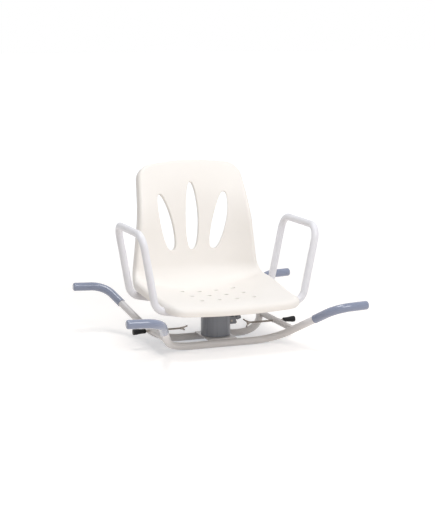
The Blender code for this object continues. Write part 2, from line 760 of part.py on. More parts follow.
def make_plugs(seat_axis):
    """The plugs in the arms' inner ends."""
    stem_r = (TUBE_R - TUBE_WALL) * FACET - GAP
    cap_r = TUBE_R * FACET
    profile = [(0, PLUG_DEPTH), (stem_r - PLUG_TAPER, PLUG_DEPTH),
               (stem_r, PLUG_DEPTH - PLUG_LEAD), (stem_r, -GAP), (cap_r, -GAP),
               (cap_r, -PLUG_FLANGE / 2), (cap_r - PLUG_FLANGE / 2, -PLUG_FLANGE),
               (0, -PLUG_FLANGE)]
    places = []
    for end, y, run_z in (("front", ARM_FRONT_LOW_Y, ARM_FRONT_RUN_Z),
                          ("rear", ARM_REAR_LOW_Y, ARM_REAR_RUN_Z)):
        for side, sign_x in SIDES:
            at = Matrix.Translation((sign_x * ARM_RUN_INNER_X, y, run_z))
            turn = Matrix.Rotation(sign_x * math.pi / 2, 4, "Y")
            places.append((end + "_" + side, at @ turn))
    plug = frozen(turned("plug", profile, TUBE_SIDES))
    copies(plug, "arm_plug", places, RUBBER_BLACK, seat_axis)


def make_arms(seat_axis):
    """Both arms with their plugs and bolts."""
    places = arm_bolt_places()
    low = ARM_REAR_RUN_Z - TUBE_R - CLEAR
    holes = hole_group("arm_bolt_holes", BOLT_R + HOLE_PLAY, places, low,
                       ARM_FRONT_RUN_Z + TUBE_R + CLEAR)
    for side, sign_x in SIDES:
        made = tube(side + "_arm", arm_path(sign_x), TUBE_R, TUBE_WALL)
        cut(made, holes)
        finish(made, WHITE_TUBE, parent=seat_axis)
    make_plugs(seat_axis)
    arm_bolt = bolt(BOLT_R, BOLT_HEAD_R, BOLT_HEAD, ARM_BOLT_SHANK)
    copies(arm_bolt, "arm_bolt", places, ZINC, seat_axis)


def middle_pieces():
    """The shell's middle line as (length, turn in radians) pieces, front to top."""
    lip_forward = LIP_LENGTH * math.cos((LIP_ANGLE - PAN_SLOPE) / 2)
    pan_length = (PAN_END_Y - SEAT_FRONT_Y - RIM_R - lip_forward) / math.cos(PAN_SLOPE)
    crease_turn = math.pi / 2 - LOW_LEAN + PAN_SLOPE
    return [(LIP_LENGTH, -LIP_ANGLE - PAN_SLOPE), (pan_length, 0),
            (CREASE_R * crease_turn, crease_turn), (LOW_BACK_LENGTH, 0),
            (UPPER_BACK_LENGTH, LOW_LEAN - TOP_LEAN)]


MIDDLE = middle_pieces()
MIDDLE_LENGTH = sum(length for length, turn in MIDDLE)
CREASE_START = MIDDLE[0][0] + MIDDLE[1][0]
CREASE_END = CREASE_START + MIDDLE[2][0]
LOW_BACK_END = CREASE_END + MIDDLE[3][0]


def walk(distance):
    """The point (y, z) and the heading at a distance along the middle line."""
    y = SEAT_FRONT_Y + RIM_R
    z = 0.0
    heading = LIP_ANGLE
    left = max(distance, 0.0)
    for index, (length, turn) in enumerate(MIDDLE):
        step = left if index == len(MIDDLE) - 1 else min(left, length)
        half_bend = turn * step / length / 2
        chord = step * math.sin(half_bend) / half_bend if half_bend else step
        y += chord * math.cos(heading + half_bend)
        z += chord * math.sin(heading + half_bend)
        heading += 2 * half_bend
        left -= step
    return y, z, heading


AXIS_DISTANCE = LIP_LENGTH - walk(LIP_LENGTH)[0] / math.cos(PAN_SLOPE)
LIFT = PAN_Z_AT_AXIS - walk(AXIS_DISTANCE)[1]


def smooth(value):
    """A step from 0 to 1 with soft ends."""
    value = min(max(value, 0.0), 1.0)
    return value * value * (3 - 2 * value)


def straight_between(distance, keys):
    """A value read from (distance, value) keys by straight lines."""
    for (start, low), (end, high) in zip(keys, keys[1:]):
        if distance <= end:
            return low + (high - low) * max(distance - start, 0) / (end - start)
    return keys[-1][1]


def outer_half(distance):
    """Half the shell's outer width at a distance along the middle line."""
    keys = [(LIP_LENGTH, FRONT_HALF), (AXIS_DISTANCE, SEAT_HALF), (CREASE_START, SEAT_HALF),
            (CREASE_END, HIP_HALF), (MIDDLE_LENGTH, TOP_HALF)]
    nearby = (distance - LIP_LENGTH, distance, distance + LIP_LENGTH)
    return sum(straight_between(place, keys) for place in nearby) / len(nearby)


def wrap(distance):
    """How far the shell's sides stand in front of its middle."""
    rise = smooth(distance / CREASE_END)
    fall = smooth((distance - LOW_BACK_END) / (MIDDLE_LENGTH - LOW_BACK_END))
    forward = WRAP_FRONT + (WRAP_HIP - WRAP_FRONT) * rise
    return forward + (WRAP_TOP - forward) * fall


def edge_tilt(distance):
    """The slope of the surface at its side edge, as an angle."""
    return math.atan(wrap(distance) * WRAP_POWER / (outer_half(distance) - RIM_R))


def panel_half(distance):
    """Half the panel's width inside the rim's bend, with its round corners."""
    half = outer_half(distance) - RIM_R * (1 + math.sin(edge_tilt(distance)))
    for from_end, corner_r in ((distance, FRONT_CORNER_R),
                               (MIDDLE_LENGTH - distance, TOP_CORNER_R)):
        inside = max(corner_r - from_end, 0)
        half -= corner_r - math.sqrt(corner_r ** 2 - inside ** 2)
    return half


def shell_rows():
    """Distances of the mesh rows along the middle line, closer together at the corners."""
    rows = [FRONT_CORNER_R * (1 - math.cos(math.pi / 2 * step / CORNER_ROWS))
            for step in range(CORNER_ROWS + 1)]
    stretches = ((CREASE_START, PAN_ROWS), (CREASE_END, CREASE_ROWS),
                 (LOW_BACK_END, LOW_BACK_ROWS), (MIDDLE_LENGTH - TOP_CORNER_R, UPPER_BACK_ROWS))
    for end, count in stretches:
        start = rows[-1]
        rows += [start + (end - start) * (step + 1) / count for step in range(count)]
    rows += [MIDDLE_LENGTH - TOP_CORNER_R * (1 - math.sin(math.pi / 2 * (step + 1) / CORNER_ROWS))
             for step in range(CORNER_ROWS)]
    return rows


def bowed(distance, across):
    """A row's distance with the front edge bowed back and the top crowned at the sides."""
    share = distance / MIDDLE_LENGTH
    bow = FRONT_BOW * across ** 2 * max(0, 1 - share / FRONT_BOW_SHARE)
    crown = TOP_CROWN * across ** 2 * max(0, 1 - (1 - share) / TOP_CROWN_SHARE)
    return distance + bow - crown


def shell_point(distance, x):
    """A point of the shell's front surface, with the directions along it and out of it."""
    y, z, heading = walk(distance)
    along = Vector((0, math.cos(heading), math.sin(heading)))
    normal = Vector((0, -math.sin(heading), math.cos(heading)))
    offset = wrap(distance) * abs(x / (outer_half(distance) - RIM_R)) ** WRAP_POWER
    return Vector((x, y, z + LIFT)) + normal * offset, along, normal


def outward(distance, across, along):
    """The direction out of the panel at a vertex of its edge."""
    in_front = distance < MIDDLE_LENGTH / 2
    endward = -along if in_front else along
    if abs(across) < AT_SIDE_EDGE:
        return endward
    side = Vector((math.copysign(1, across), 0, 0))
    from_end = distance if in_front else MIDDLE_LENGTH - distance
    corner_r = FRONT_CORNER_R if in_front else TOP_CORNER_R
    turn = math.acos(max(1 - from_end / corner_r, 0))
    return endward * math.cos(turn) + side * math.sin(turn)


def make_shell_surface():
    """The open front surface of the shell with its turned rim."""
    rows = shell_rows()
    last = len(rows) - 1
    shape = bmesh.new()
    bmesh.ops.create_grid(shape, x_segments=SHELL_COLUMNS, y_segments=last, size=1)
    edge = {}
    for vertex in shape.verts:
        distance = rows[round((vertex.co.y + 1) / 2 * last)]
        across = vertex.co.x
        x = across * panel_half(distance)
        place = bowed(distance, across)
        point, along, normal = shell_point(place, x)
        if vertex.is_boundary:
            out = outward(distance, across, along)
            share = abs(x) / (outer_half(place) - RIM_R)
            slope = math.tan(edge_tilt(place)) * share ** (WRAP_POWER - 1)
            edge[vertex] = (point, out, normal, math.atan(slope * abs(out.x)), place)
        vertex.co = point
    grow_rim(shape, edge)
    bmesh.ops.recalc_face_normals(shape, faces=shape.faces)
    if sum(face.normal.z for face in shape.faces if face.calc_center_median().y < 0) < 0:
        bmesh.ops.reverse_faces(shape, faces=shape.faces)
    return mesh_object("seat_shell", shape)


def rim_place(frame, step):
    """Where an edge vertex goes at each step round the bend and down the skirt."""
    point, out, normal, tilt, distance = frame
    centre = point - (normal * math.cos(tilt) - out * math.sin(tilt)) * RIM_R
    if step <= RIM_BEND_STEPS:
        angle = -tilt + (math.pi / 2 + tilt) * step / RIM_BEND_STEPS
        return centre + (normal * math.cos(angle) + out * math.sin(angle)) * RIM_R
    front = max(0, 1 - distance / FRONT_RIM_REACH)
    depth = RIM_DEPTH + (FRONT_RIM_DEPTH - RIM_DEPTH) * front
    return centre + out * RIM_R - normal * (depth - RIM_R)


def grow_rim(shape, edge):
    """Extrude the panel's edge round its bend and back to the rim's free edge."""
    for step in range(1, RIM_BEND_STEPS + 2):
        border = [item for item in shape.edges if item.is_boundary]
        grown = bmesh.ops.extrude_edge_only(shape, edges=border)["geom"]
        moved = {}
        for vertex in grown:
            if isinstance(vertex, bmesh.types.BMVert):
                source = min(edge, key=lambda other: (other.co - vertex.co).length_squared)
                moved[vertex] = edge[source]
        for vertex, frame in moved.items():
            vertex.co = rim_place(frame, step)
        edge = moved


def petal_outline(bottom, top):
    """A blunt petal between two (x, z) points, widest below its middle."""
    start = Vector(bottom)
    axis = Vector(top) - start
    sideways = Vector((axis.y, -axis.x)).normalized()
    power = math.log(0.5) / math.log(PETAL_WIDEST)
    right = []
    left = []
    for index in range(PETAL_STEPS + 1):
        share = (1 - math.cos(math.pi * index / PETAL_STEPS)) / 2
        width = PETAL_HALF * max(0, math.sin(math.pi * share ** power)) ** PETAL_BLUNT
        right.append(start + axis * share + sideways * width)
        left.append(start + axis * share - sideways * width)
    return right + left[-2:0:-1]


def cut_petals(shell):
    """The three petal openings, cut straight through the back."""
    petals = [("centre_petal", 0, 0, CENTRE_PETAL_TOP_Z)]
    for side, sign_x in SIDES:
        petals.append((side + "_petal", sign_x * SIDE_PETAL_BOTTOM_X,
                       sign_x * SIDE_PETAL_TOP_X, SIDE_PETAL_TOP_Z))
    for name, bottom_x, top_x, top_z in petals:
        outline = petal_outline((bottom_x, PETAL_BOTTOM_Z), (top_x, top_z))
        petal = flat_solid(name, outline, BACK_REACH, cutter=True)
        petal.rotation_euler.x = math.pi / 2
        petal.location.y = BACK_Y
        cut(shell, petal)


def cut_drains(shell):
    """The rows of drain holes in the pan."""
    places = []
    for y in DRAIN_ROWS_Y:
        for column in range(DRAIN_COLUMNS):
            x = (column - (DRAIN_COLUMNS - 1) / 2) * DRAIN_PITCH_X
            places.append(("drain", Matrix.Translation((x, y, 0))))
    cut(shell, hole_group("drain_holes", DRAIN_R, places, SWIVEL_PLATE_TOP_Z, DRAIN_TOP_Z,
                          DRAIN_SIDES))


def add_bosses(shell):
    """Bosses under the pan for the bolts, fitted over the arms."""
    groups = (("plate_boss", four_places(PLATE_BOLT_X, PLATE_BOLT_Y, SWIVEL_PLATE_Z - GAP),
               SWIVEL_PLATE_TOP_Z + GAP, PLATE_BOLT_SHANK),
              ("arm_boss", arm_bolt_places(), ARM_FRONT_RUN_Z, ARM_BOLT_SHANK))
    holes = []
    for name, places, low, shank in groups:
        for place_name, place in places:
            x, y, head_z = place.translation
            distance = AXIS_DISTANCE + y / math.cos(PAN_SLOPE)
            high = shell_point(distance, x)[0].z - SHELL_WALL / 2
            full_name = name + "_" + place_name
            boss = rod(full_name, BOSS_R, (x, y, low), (x, y, high), BOSS_SIDES, cutter=True)
            cut(shell, boss, "UNION")
            holes.append(rod(full_name + "_hole", BOLT_R + GAP, (x, y, head_z),
                             (x, y, head_z + shank + 2 * GAP), FASTENER_SIDES, cutter=True))
    for side, sign_x in SIDES:
        cut(shell, tube(side + "_arm_cutter", arm_path(sign_x), AROUND_TUBE_R, cutter=True))
    for hole in holes:
        cut(shell, hole)


def make_seat_shell(seat_axis):
    """The moulded shell: surface, wall, bosses, petals and drain holes."""
    shell = make_shell_surface()
    solid = shell.modifiers.new("wall", "SOLIDIFY")
    solid.thickness = SHELL_WALL
    solid.offset = -1
    add_bosses(shell)
    cut_petals(shell)
    cut_drains(shell)
    finish(shell, SEAT_WHITE, parent=seat_axis)


def make_bracket(seat_axis):
    """The block with two ears that carries the lever, and its screws."""
    inner_x = HOUSING_INNER_R - CLEAR
    bracket = block("lever_bracket", (inner_x, -BRACKET_HALF_WIDTH, BRACKET_BOTTOM_Z),
                    (BRACKET_FACE_X, BRACKET_HALF_WIDTH, BRACKET_TOP_Z))
    edges = bracket.modifiers.new("edges", "BEVEL")
    edges.width = BRACKET_ROUND
    edges.segments = EDGE_STEPS
    cut(bracket, rod("column_cutter", HOUSING_R + GAP, (0, 0, BRACKET_BOTTOM_Z - CLEAR),
                     (0, 0, BRACKET_TOP_Z + CLEAR), COLUMN_SIDES, cutter=True))
    slot_low = (inner_x - CLEAR, -LEVER_SLOT_HALF, BRACKET_BOTTOM_Z + BRACKET_FLOOR)
    slot_high = (BRACKET_FACE_X + CLEAR, LEVER_SLOT_HALF, BRACKET_TOP_Z + CLEAR)
    cut(bracket, block("bracket_slot", slot_low, slot_high, cutter=True))
    pin_reach = BRACKET_HALF_WIDTH + CLEAR
    cut(bracket, rod("pin_hole", LEVER_PIN_R + GAP, (LEVER_PIVOT_X, -pin_reach, LEVER_PIVOT_Z),
                     (LEVER_PIVOT_X, pin_reach, LEVER_PIVOT_Z), FASTENER_SIDES, cutter=True))
    places = []
    for end, sign_y in ENDS:
        y = sign_y * BRACKET_SCREW_Y
        cut(bracket, rod("ear_hole_" + end, BRACKET_SCREW_R + GAP, (inner_x, y, BRACKET_SCREW_Z),
                         (BRACKET_FACE_X + CLEAR, y, BRACKET_SCREW_Z), FASTENER_SIDES,
                         cutter=True))
        at = Matrix.Translation((BRACKET_FACE_X + GAP, y, BRACKET_SCREW_Z))
        places.append((end, at @ Matrix.Rotation(-math.pi / 2, 4, "Y")))
    finish(bracket, LEVER_GREY, parent=seat_axis)
    screw = bolt(BRACKET_SCREW_R, BRACKET_SCREW_HEAD_R, BRACKET_SCREW_HEAD,
                 BRACKET_FACE_X - HOUSING_INNER_R)
    copies(screw, "bracket_screw", places, ZINC, seat_axis)


def make_lever_pin(seat_axis):
    """The riveted pin that the lever turns on."""
    reach = BRACKET_HALF_WIDTH + GAP
    head = reach + LEVER_PIN_HEAD
    profile = [(0, head), (LEVER_PIN_HEAD_R, head), (LEVER_PIN_HEAD_R, reach),
               (LEVER_PIN_R, reach), (LEVER_PIN_R, -reach), (LEVER_PIN_HEAD_R, -reach),
               (LEVER_PIN_HEAD_R, -head), (0, -head)]
    pin = turned("lever_pin", profile, FASTENER_SIDES)
    pin.rotation_euler.x = math.pi / 2
    pin.location = (LEVER_PIVOT_X, 0, LEVER_PIVOT_Z)
    finish(pin, ZINC, seat_axis)


def lever_outline():
    """The flat lever in side view about its pivot: tooth, arm, round boss and tang."""
    tooth_x = TOOTH_INNER_R - LEVER_PIVOT_X
    tooth_z = INDEX_Z - TOOTH_BELOW_DISC - LEVER_PIVOT_Z
    arm_half = LEVER_ARM_HEIGHT / 2
    arm_angle = math.asin(arm_half / LEVER_BOSS_R)
    tang_angle = math.asin(TANG_HEIGHT / 2 / LEVER_BOSS_R)
    tang_reach = math.hypot(TANG_LENGTH, TANG_HEIGHT / 2)
    tang_corner = math.asin(TANG_HEIGHT / 2 / tang_reach)
    points = [(tooth_x, arm_half), (tooth_x, tooth_z), (tooth_x + TOOTH_THICK, tooth_z),
              (tooth_x + TOOTH_THICK, -arm_half)]
    points += arc(LEVER_BOSS_R, math.pi + arm_angle, 2 * math.pi + TANG_ANGLE - tang_angle)
    points += arc(tang_reach, TANG_ANGLE - tang_corner, TANG_ANGLE + tang_corner, 1)
    points += arc(LEVER_BOSS_R, TANG_ANGLE + tang_angle, math.pi - arm_angle)
    return points


def make_lever(seat_axis):
    """The lock lever and its knob, drawn engaged about the pivot, which is then lifted."""
    lever_axis = axis_empty("lever_axis", (LEVER_PIVOT_X, 0, LEVER_PIVOT_Z), seat_axis)
    lever_axis.rotation_euler.y = -LEVER_LIFT
    lever = flat_solid("lock_lever", lever_outline(), LEVER_THICK)
    lever.rotation_euler.x = math.pi / 2
    hole = rod("lever_hole", LEVER_PIN_R + GAP, (0, -LEVER_THICK, 0), (0, LEVER_THICK, 0),
               FASTENER_SIDES, cutter=True)
    cut(lever, hole)
    finish(lever, STEEL, lever_axis)
    half = LEVER_THICK / 2
    tang_half = TANG_HEIGHT / 2
    knob_low = (KNOB_START, -KNOB_WIDTH / 2, -KNOB_HEIGHT / 2)
    knob_high = (KNOB_START + KNOB_LENGTH, KNOB_WIDTH / 2, KNOB_HEIGHT / 2)
    knob = block("lever_knob", knob_low, knob_high)
    knob.rotation_euler.y = -TANG_ANGLE
    edges = knob.modifiers.new("edges", "BEVEL")
    edges.width = KNOB_ROUND
    edges.segments = KNOB_EDGE_STEPS
    pocket = block("knob_pocket", (0, -half - GAP, -tang_half - GAP),
                   (TANG_LENGTH + GAP, half + GAP, tang_half + GAP), cutter=True)
    pocket.rotation_euler.y = -TANG_ANGLE
    cut(knob, pocket)
    finish(knob, LEVER_GREY, parent=lever_axis)
    for cutter in (hole, pocket):
        cutter.parent = lever_axis


def wing_outline(sign_x, sign):
    """One wing: up from the hub, leaning inwards past the screw's end, with a round tip."""
    hub_end = SCREW_WING_X - WING_HUB_LENGTH
    root = WING_HUB_R / 2
    tip = (hub_end - WING_LEAN / 2, WING_SPREAD - WING_TIP_R)
    points = [(hub_end, root), (SCREW_WING_X, root)]
    points += arc(WING_TIP_R, -WING_TIP_TURN, math.pi - WING_TIP_TURN, CORNER_STEPS, tip)
    return [(sign_x * x, sign * z) for x, z in points]


def make_clamp(side, sign_x):
    """A clamp screw with its wing head and its rubber tip."""
    axis = axis_empty(side + "_screw_axis", (0, 0, BRACE_Z))
    axis.rotation_euler.x = -sign_x * (math.pi / 2 - WING_TILT)
    hub_end = SCREW_WING_X - WING_HUB_LENGTH
    screw_end = PAD_INNER_X + SCREW_IN_PAD
    screw = rod(side + "_clamp_screw", SCREW_R, (sign_x * (hub_end + 2 * GAP), 0, 0),
                (sign_x * screw_end, 0, 0), SCREW_SIDES)
    hub = rod(side + "_wing_hub", WING_HUB_R, (sign_x * hub_end, 0, 0),
              (sign_x * SCREW_WING_X, 0, 0), SCREW_SIDES, WING_HUB_R * WING_HUB_TAPER,
              cutter=True)
    cut(screw, hub, "UNION")
    hub.parent = axis
    for name, sign in (("upper", 1), ("lower", -1)):
        wing = flat_solid(side + "_" + name + "_wing", wing_outline(sign_x, sign), WING_THICK,
                          cutter=True)
        wing.rotation_euler.x = math.pi / 2
        cut(screw, wing, "UNION")
        wing.parent = axis
    finish(screw, ZINC, axis)
    pad = rod(side + "_pad", PAD_INNER_R, (sign_x * PAD_INNER_X, 0, 0),
              (sign_x * (PAD_INNER_X + PAD_LENGTH), 0, 0), TURNED_SIDES, PAD_OUTER_R)
    edges = pad.modifiers.new("edges", "BEVEL")
    edges.width = PAD_ROUND
    edges.segments = EDGE_STEPS
    bore = rod(side + "_pad_bore", SCREW_R + GAP, (sign_x * (PAD_INNER_X - CLEAR), 0, 0),
               (sign_x * (screw_end + GAP), 0, 0), SCREW_SIDES, cutter=True)
    cut(pad, bore)
    bore.parent = axis
    finish(pad, RUBBER_BLACK, parent=axis)


def main():
    """Build the chair: the fixed frame, the turning seat, its lever and the clamps."""
    make_frame()
    make_post()
    seat_axis = axis_empty("seat_axis", (0, 0, 0))
    screw_holes = make_swivel_plate(seat_axis)
    make_housing(seat_axis, screw_holes)
    make_arms(seat_axis)
    make_seat_shell(seat_axis)
    make_bracket(seat_axis)
    make_lever_pin(seat_axis)
    make_lever(seat_axis)
    for side, sign_x in SIDES:
        make_clamp(side, sign_x)


main()
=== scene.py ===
"""Swivel bath chair: its looks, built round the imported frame.

Two bent tubes with dipped sleeves on their ends stand on the rims of a bath.
The seat and its two arms turn on a column between them, a lever locks the
column, and two wing screws press rubber tips against the bath's walls.

Metres, +Z up, the seat faces -Y, and the swivel axis is the Z axis.
"""
import json
import math

import bmesh
import bpy
from mathutils import Matrix, Vector
from mathutils.kdtree import KDTree


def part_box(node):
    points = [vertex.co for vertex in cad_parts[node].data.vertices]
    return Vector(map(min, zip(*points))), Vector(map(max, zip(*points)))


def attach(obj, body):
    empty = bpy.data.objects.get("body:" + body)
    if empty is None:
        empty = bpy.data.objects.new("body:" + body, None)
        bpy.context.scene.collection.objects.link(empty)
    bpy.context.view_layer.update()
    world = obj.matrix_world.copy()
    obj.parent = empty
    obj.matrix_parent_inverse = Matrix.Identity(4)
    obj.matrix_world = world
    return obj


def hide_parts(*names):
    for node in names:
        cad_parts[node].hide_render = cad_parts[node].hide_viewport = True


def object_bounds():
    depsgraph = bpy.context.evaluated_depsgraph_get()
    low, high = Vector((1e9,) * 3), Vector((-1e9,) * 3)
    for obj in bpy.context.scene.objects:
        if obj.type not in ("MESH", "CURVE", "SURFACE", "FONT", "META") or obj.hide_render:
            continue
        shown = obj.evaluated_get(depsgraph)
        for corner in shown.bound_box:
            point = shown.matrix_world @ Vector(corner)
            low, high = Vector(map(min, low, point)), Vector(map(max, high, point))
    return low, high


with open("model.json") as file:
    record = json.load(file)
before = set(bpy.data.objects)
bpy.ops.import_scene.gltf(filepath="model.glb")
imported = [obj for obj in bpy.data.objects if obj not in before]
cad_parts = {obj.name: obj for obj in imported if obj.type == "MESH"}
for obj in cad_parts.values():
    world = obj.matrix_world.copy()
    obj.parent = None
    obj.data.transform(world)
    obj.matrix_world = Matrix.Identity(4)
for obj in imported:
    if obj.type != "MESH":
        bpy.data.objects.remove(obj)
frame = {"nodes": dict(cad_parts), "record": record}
CAD_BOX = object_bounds()

# The photograph's frame and the camera's place
PHOTO_HEIGHT_PX = 521
FOCAL_PX = 1334.3
SENSOR_MM = 36
CAMERA_AZIMUTH = math.radians(-20.71)
CAMERA_ELEVATION = math.radians(10.01)
CAMERA_DISTANCE = 3.982
AIM_RIGHT = 0.006
AIM_HEIGHT = 0.251

# How finely round shapes are drawn
TUBE_SIDES = 40
BEND_STEPS = 14
TURNED_SIDES = 72
SMALL_SIDES = 32
HEAD_SIDES = 36
SCREW_SIDES = 14
WELD_SIDES = 10
PLATE_CORNER_STEPS = 8
BRACKET_CORNER_STEPS = 4
EDGE_STEPS = 3
KNOB_STEPS = 6
WING_TIP_STEPS = 8
LEVER_LOWER_STEPS = 14
LEVER_UPPER_STEPS = 12
FLANGE_STEPS = 2
MERGE = 0.00001
MM_IN_METRE = 1000

# Gap between parts that touch, and how far a cutter reaches past what it cuts
CLEARANCE = 0.0003
CUT_PAST = 0.005

# Angles in degrees above which an edge is sharp, by kind of piece
SHARP = 32
SHARP_MOULDED = 50
SHARP_DIPPED = 60
SOFTENED = 40

# Rounding of sharp edges
STEEL_EDGE = 0.0005
COATED_EDGE = 0.0008
COLUMN_EDGE = 0.0009
BRACKET_EDGE = 0.0010
KNOB_EDGE = 0.0035
WING_EDGE = 0.0014

# Frame tubes and braces
TUBE_R = 0.0111
OVERALL_HALF_WIDTH = 0.365
GRIP_Y = 0.283
GRIP_Z = 0.140
GRIP_INNER_X = 0.265
GRIP_RISE = 0.004
GRIP_BEND_R = 0.065
RUN_Y = 0.0585
RUN_END_X = 0.165
RUN_BEND_R = 0.100
SLEEVE_WALL = 0.0020
SLEEVE_ROUND = 0.0059
SLEEVE_ON_LEG = 0.092
SLEEVE_ROUND_STEPS = 6
BRACE_R = 0.0095
BRACE_Z = 0.053
BUSH_R = 0.0060
BUSH_HOLE_R = 0.0058
BUSH_PROUD = 0.0025
WELD_R = 0.0017

# Clamp screws, their wing heads and the shape of a thread in shares of its pitch
SCREW_R = 0.0030
SCREW_BORE_R = 0.0033
SCREW_CORE_R = 0.0025
SCREW_PITCH = 0.0010
THREAD_FLANK = 0.38
THREAD_CREST = 0.12
THREAD_MERGE = 0.02
WING_END_X = 0.112
WING_HUB_LENGTH = 0.010
WING_ROOT = 0.0024
WING_SPREAD = 0.0165
WING_LEAN = 0.0120
WING_THICK = 0.0046
WING_TILT = math.radians(35)
SCREW_IN_HUB = 0.004
# The wing head's hub: radius, and how far in from its outer end
WING_HUB = ((0, 0.0100), (0.004128, 0.0100), (0.0048, 0.0093), (0.003744, 0.0005),
            (0.00336, 0), (0, 0))

# Rubber tips, their outside as radius and how far in from the outer end
PAD_INNER_X = 0.2205
PAD_LENGTH = 0.0395
SCREW_IN_PAD = 0.024
SCREW_TIP_GAP = 0.0015
PAD_OUTSIDE = ((0, 0), (0.0070, 0), (0.0086, 0.0006), (0.0092, 0.0024), (0.0091, 0.0090),
               (0.0080, 0.0170), (0.0071, 0.0250), (0.0068, 0.0335), (0.0068, 0.0381),
               (0.0056, 0.0395))

# Column and plates
HOUSING_R = 0.0446
HOUSING_WALL = 0.0035
HUB_BORE_R = 0.0165
HUB_OUTER_R = 0.0205
WEB_THICK = 0.0060
RECESS_R = 0.0260
SHELF_R = 0.0295
SHELF_Z = 0.1195
SHELF_THICK = 0.0040
WINDOW_SPARE = 0.002
BASE_PLATE_CORNER_R = 0.003
SWIVEL_PLATE_CORNER_R = 0.015

# Lock lever, its bracket and its pin, whose ends are radius and how far in from the tip
LEVER_PIVOT = Vector((0.0475, 0, 0.0660))
LEVER_LIFT = math.radians(12)
LEVER_THICK = 0.0070
LEVER_BOSS_R = 0.0055
LEVER_ARM_HEIGHT = 0.0070
TOOTH_INNER_X = -0.0200
TOOTH_THICK = 0.0050
TOOTH_Z = -0.0347
TANG_HEIGHT = 0.0040
TANG_ANGLE = math.radians(6)
TANG_LENGTH = 0.0265
KNOB_START = 0.0175
KNOB_SIZE = Vector((0.0160, 0.0180, 0.0120))
BRACKET_INNER_X = 0.0386
BRACKET_FACE_X = 0.0620
BRACKET_FLOOR_Z = 0.0592
BRACKET_CORNER_R = 0.0015
BRACKET_FIT = 0.0002
SLOT_HALF = 0.0042
PIN_END = ((0, 0), (0.0026, 0), (0.0034, 0.0003), (0.0036, 0.0010), (0.0020, 0.0010))

# Arms, and a plug as radius and height over the tube's end
ARM_RUN_INNER_X = 0.0400
ARM_RUN_OUTER_X = 0.1500
ARM_LOW_X = 0.2290
ARM_LOW_Z = 0.1395
ARM_TOP_X = 0.2700
ARM_TOP_Z = 0.3590
ARM_LEGS = {"front": (-0.1255, -0.1340, 0.1265), "rear": (0.1207, 0.1120, 0.1240)}
ARM_BEND_RADII = [0.080, 0.040, 0.040]
PLUG = ((0, 0.0020), (0.0108, 0.0002), (0.0108, -0.0006), (0.0103, -0.0015),
        (0.0090, -0.0020), (0, -0.0020))

# Bolts as shank radius, head radius, head height and shank length, and their places
PLATE_BOLT = (0.0030, 0.0058, 0.0026, 0.0100)
ARM_BOLT = (0.0030, 0.0058, 0.0026, 0.0260)
BRACKET_SCREW = (0.0020, 0.0040, 0.0018, 0.0190)
HEAD_FACE_SHARE = 0.84
HEAD_CHAMFER = 0.55
ARM_BOLTS_X = {"inner": 0.0540, "outer": 0.1080}
PLATE_BOLT_X = 0.0540
PLATE_BOLT_Y = 0.0660
BRACKET_SCREW_Y = 0.0086
BRACKET_SCREW_Z = 0.0606

# Bosses over the bolts: their radius, the fillet under the wall and the rounded foot
BOSS_R = 0.0095
BOSS_FILLET = ((0.0015, 0.0003), (0.0006, -0.0009), (0, -0.0024))
BOSS_FOOT_R = 0.0006

# Seat shell, along its middle line from the front edge to the top
SHELL_WALL = 0.008
FRONT_RIM_R = 0.016
BACK_RIM_R = 0.010
RIM_DEPTH = 0.034
PAN_RIM_DEPTH = 0.0225
FRONT_RIM_DEPTH = 0.0245
FRONT_RIM_REACH = 0.120
SEAT_FRONT_Y = -0.203
PAN_Z_AT_AXIS = 0.1495
LIP_LENGTH = 0.040
LIP_ANGLE = math.radians(16)
PAN_SLOPE = math.radians(2.4)
PAN_END_Y = 0.125
CREASE_R = 0.072
LOW_LEAN = math.radians(1.5)
LOW_BACK_LENGTH = 0.110
TOP_LEAN = math.radians(22)
UPPER_BACK_LENGTH = 0.2043

# Seat shell, across
FRONT_HALF = 0.203
SEAT_HALF = 0.214
HIP_HALF = 0.200
TOP_HALF = 0.166
FRONT_CORNER_R = 0.031
TOP_CORNER_R = 0.044
FRONT_BOW = 0.006
FRONT_BOW_SHARE = 1 / 6
TOP_CROWN = 0.010
TOP_CROWN_SHARE = 1 / 4
WRAP_FRONT = 0.004
WRAP_HIP = 0.045
WRAP_TOP = 0.008
WRAP_POWER = 2.4
WRAP_INSET = 0.010

# Mesh of the shell
MESH_STEP = 0.0045
FINE_BAND = 0.0050
FINE_CUTS = 2
CORNER_ROWS = 12
RIM_BEND_STEPS = 8
SKIRT_STEPS = 2
LIP_STEPS = 4
SHOULDER = 0.4
AT_SIDE_EDGE = 0.9999
HALVINGS = 12
SMOOTHINGS = 3

# Rounded lips of the shell's edges, and the flanges that run back from its openings
PETAL_LIP_R = 0.0022
DRAIN_LIP_R = 0.0009
RIM_LIP_R = 0.0036
PETAL_FLANGE = 0.0135
DRAIN_FLANGE = 0.0120
FLANGE_EDGE_R = 0.0006

# Openings in the shell
PETAL_HALF = 0.0207
PETAL_BLUNT = 0.42
PETAL_WIDEST = 0.42
PETAL_POINTS = 6000
DRAIN_R = 0.0075
DRAIN_TOP_Z = 0.190
BACK_FROM_Y = 0.100
DRAIN_COLUMNS_X = (-0.0816, -0.0272, 0.0272, 0.0816)
DRAIN_ROWS_Y = (0.065, -0.021, -0.105)
# The foot and the top of each petal as (x, z), seen from the front
PETAL_ENDS = (((0, 0.2545), (0, 0.4630)), ((-0.0666, 0.2545), (-0.1060, 0.4310)),
              ((0.0666, 0.2545), (0.1060, 0.4310)))
PETALS = [(Vector(foot), Vector(top) - Vector(foot)) for foot, top in PETAL_ENDS]

# Heights between which the powder coat turns from its painted shade low down to its own lit tint
# higher up
PAINTED_SHADE_LOW_Z = 0.05
PAINTED_SHADE_HIGH_Z = 0.15

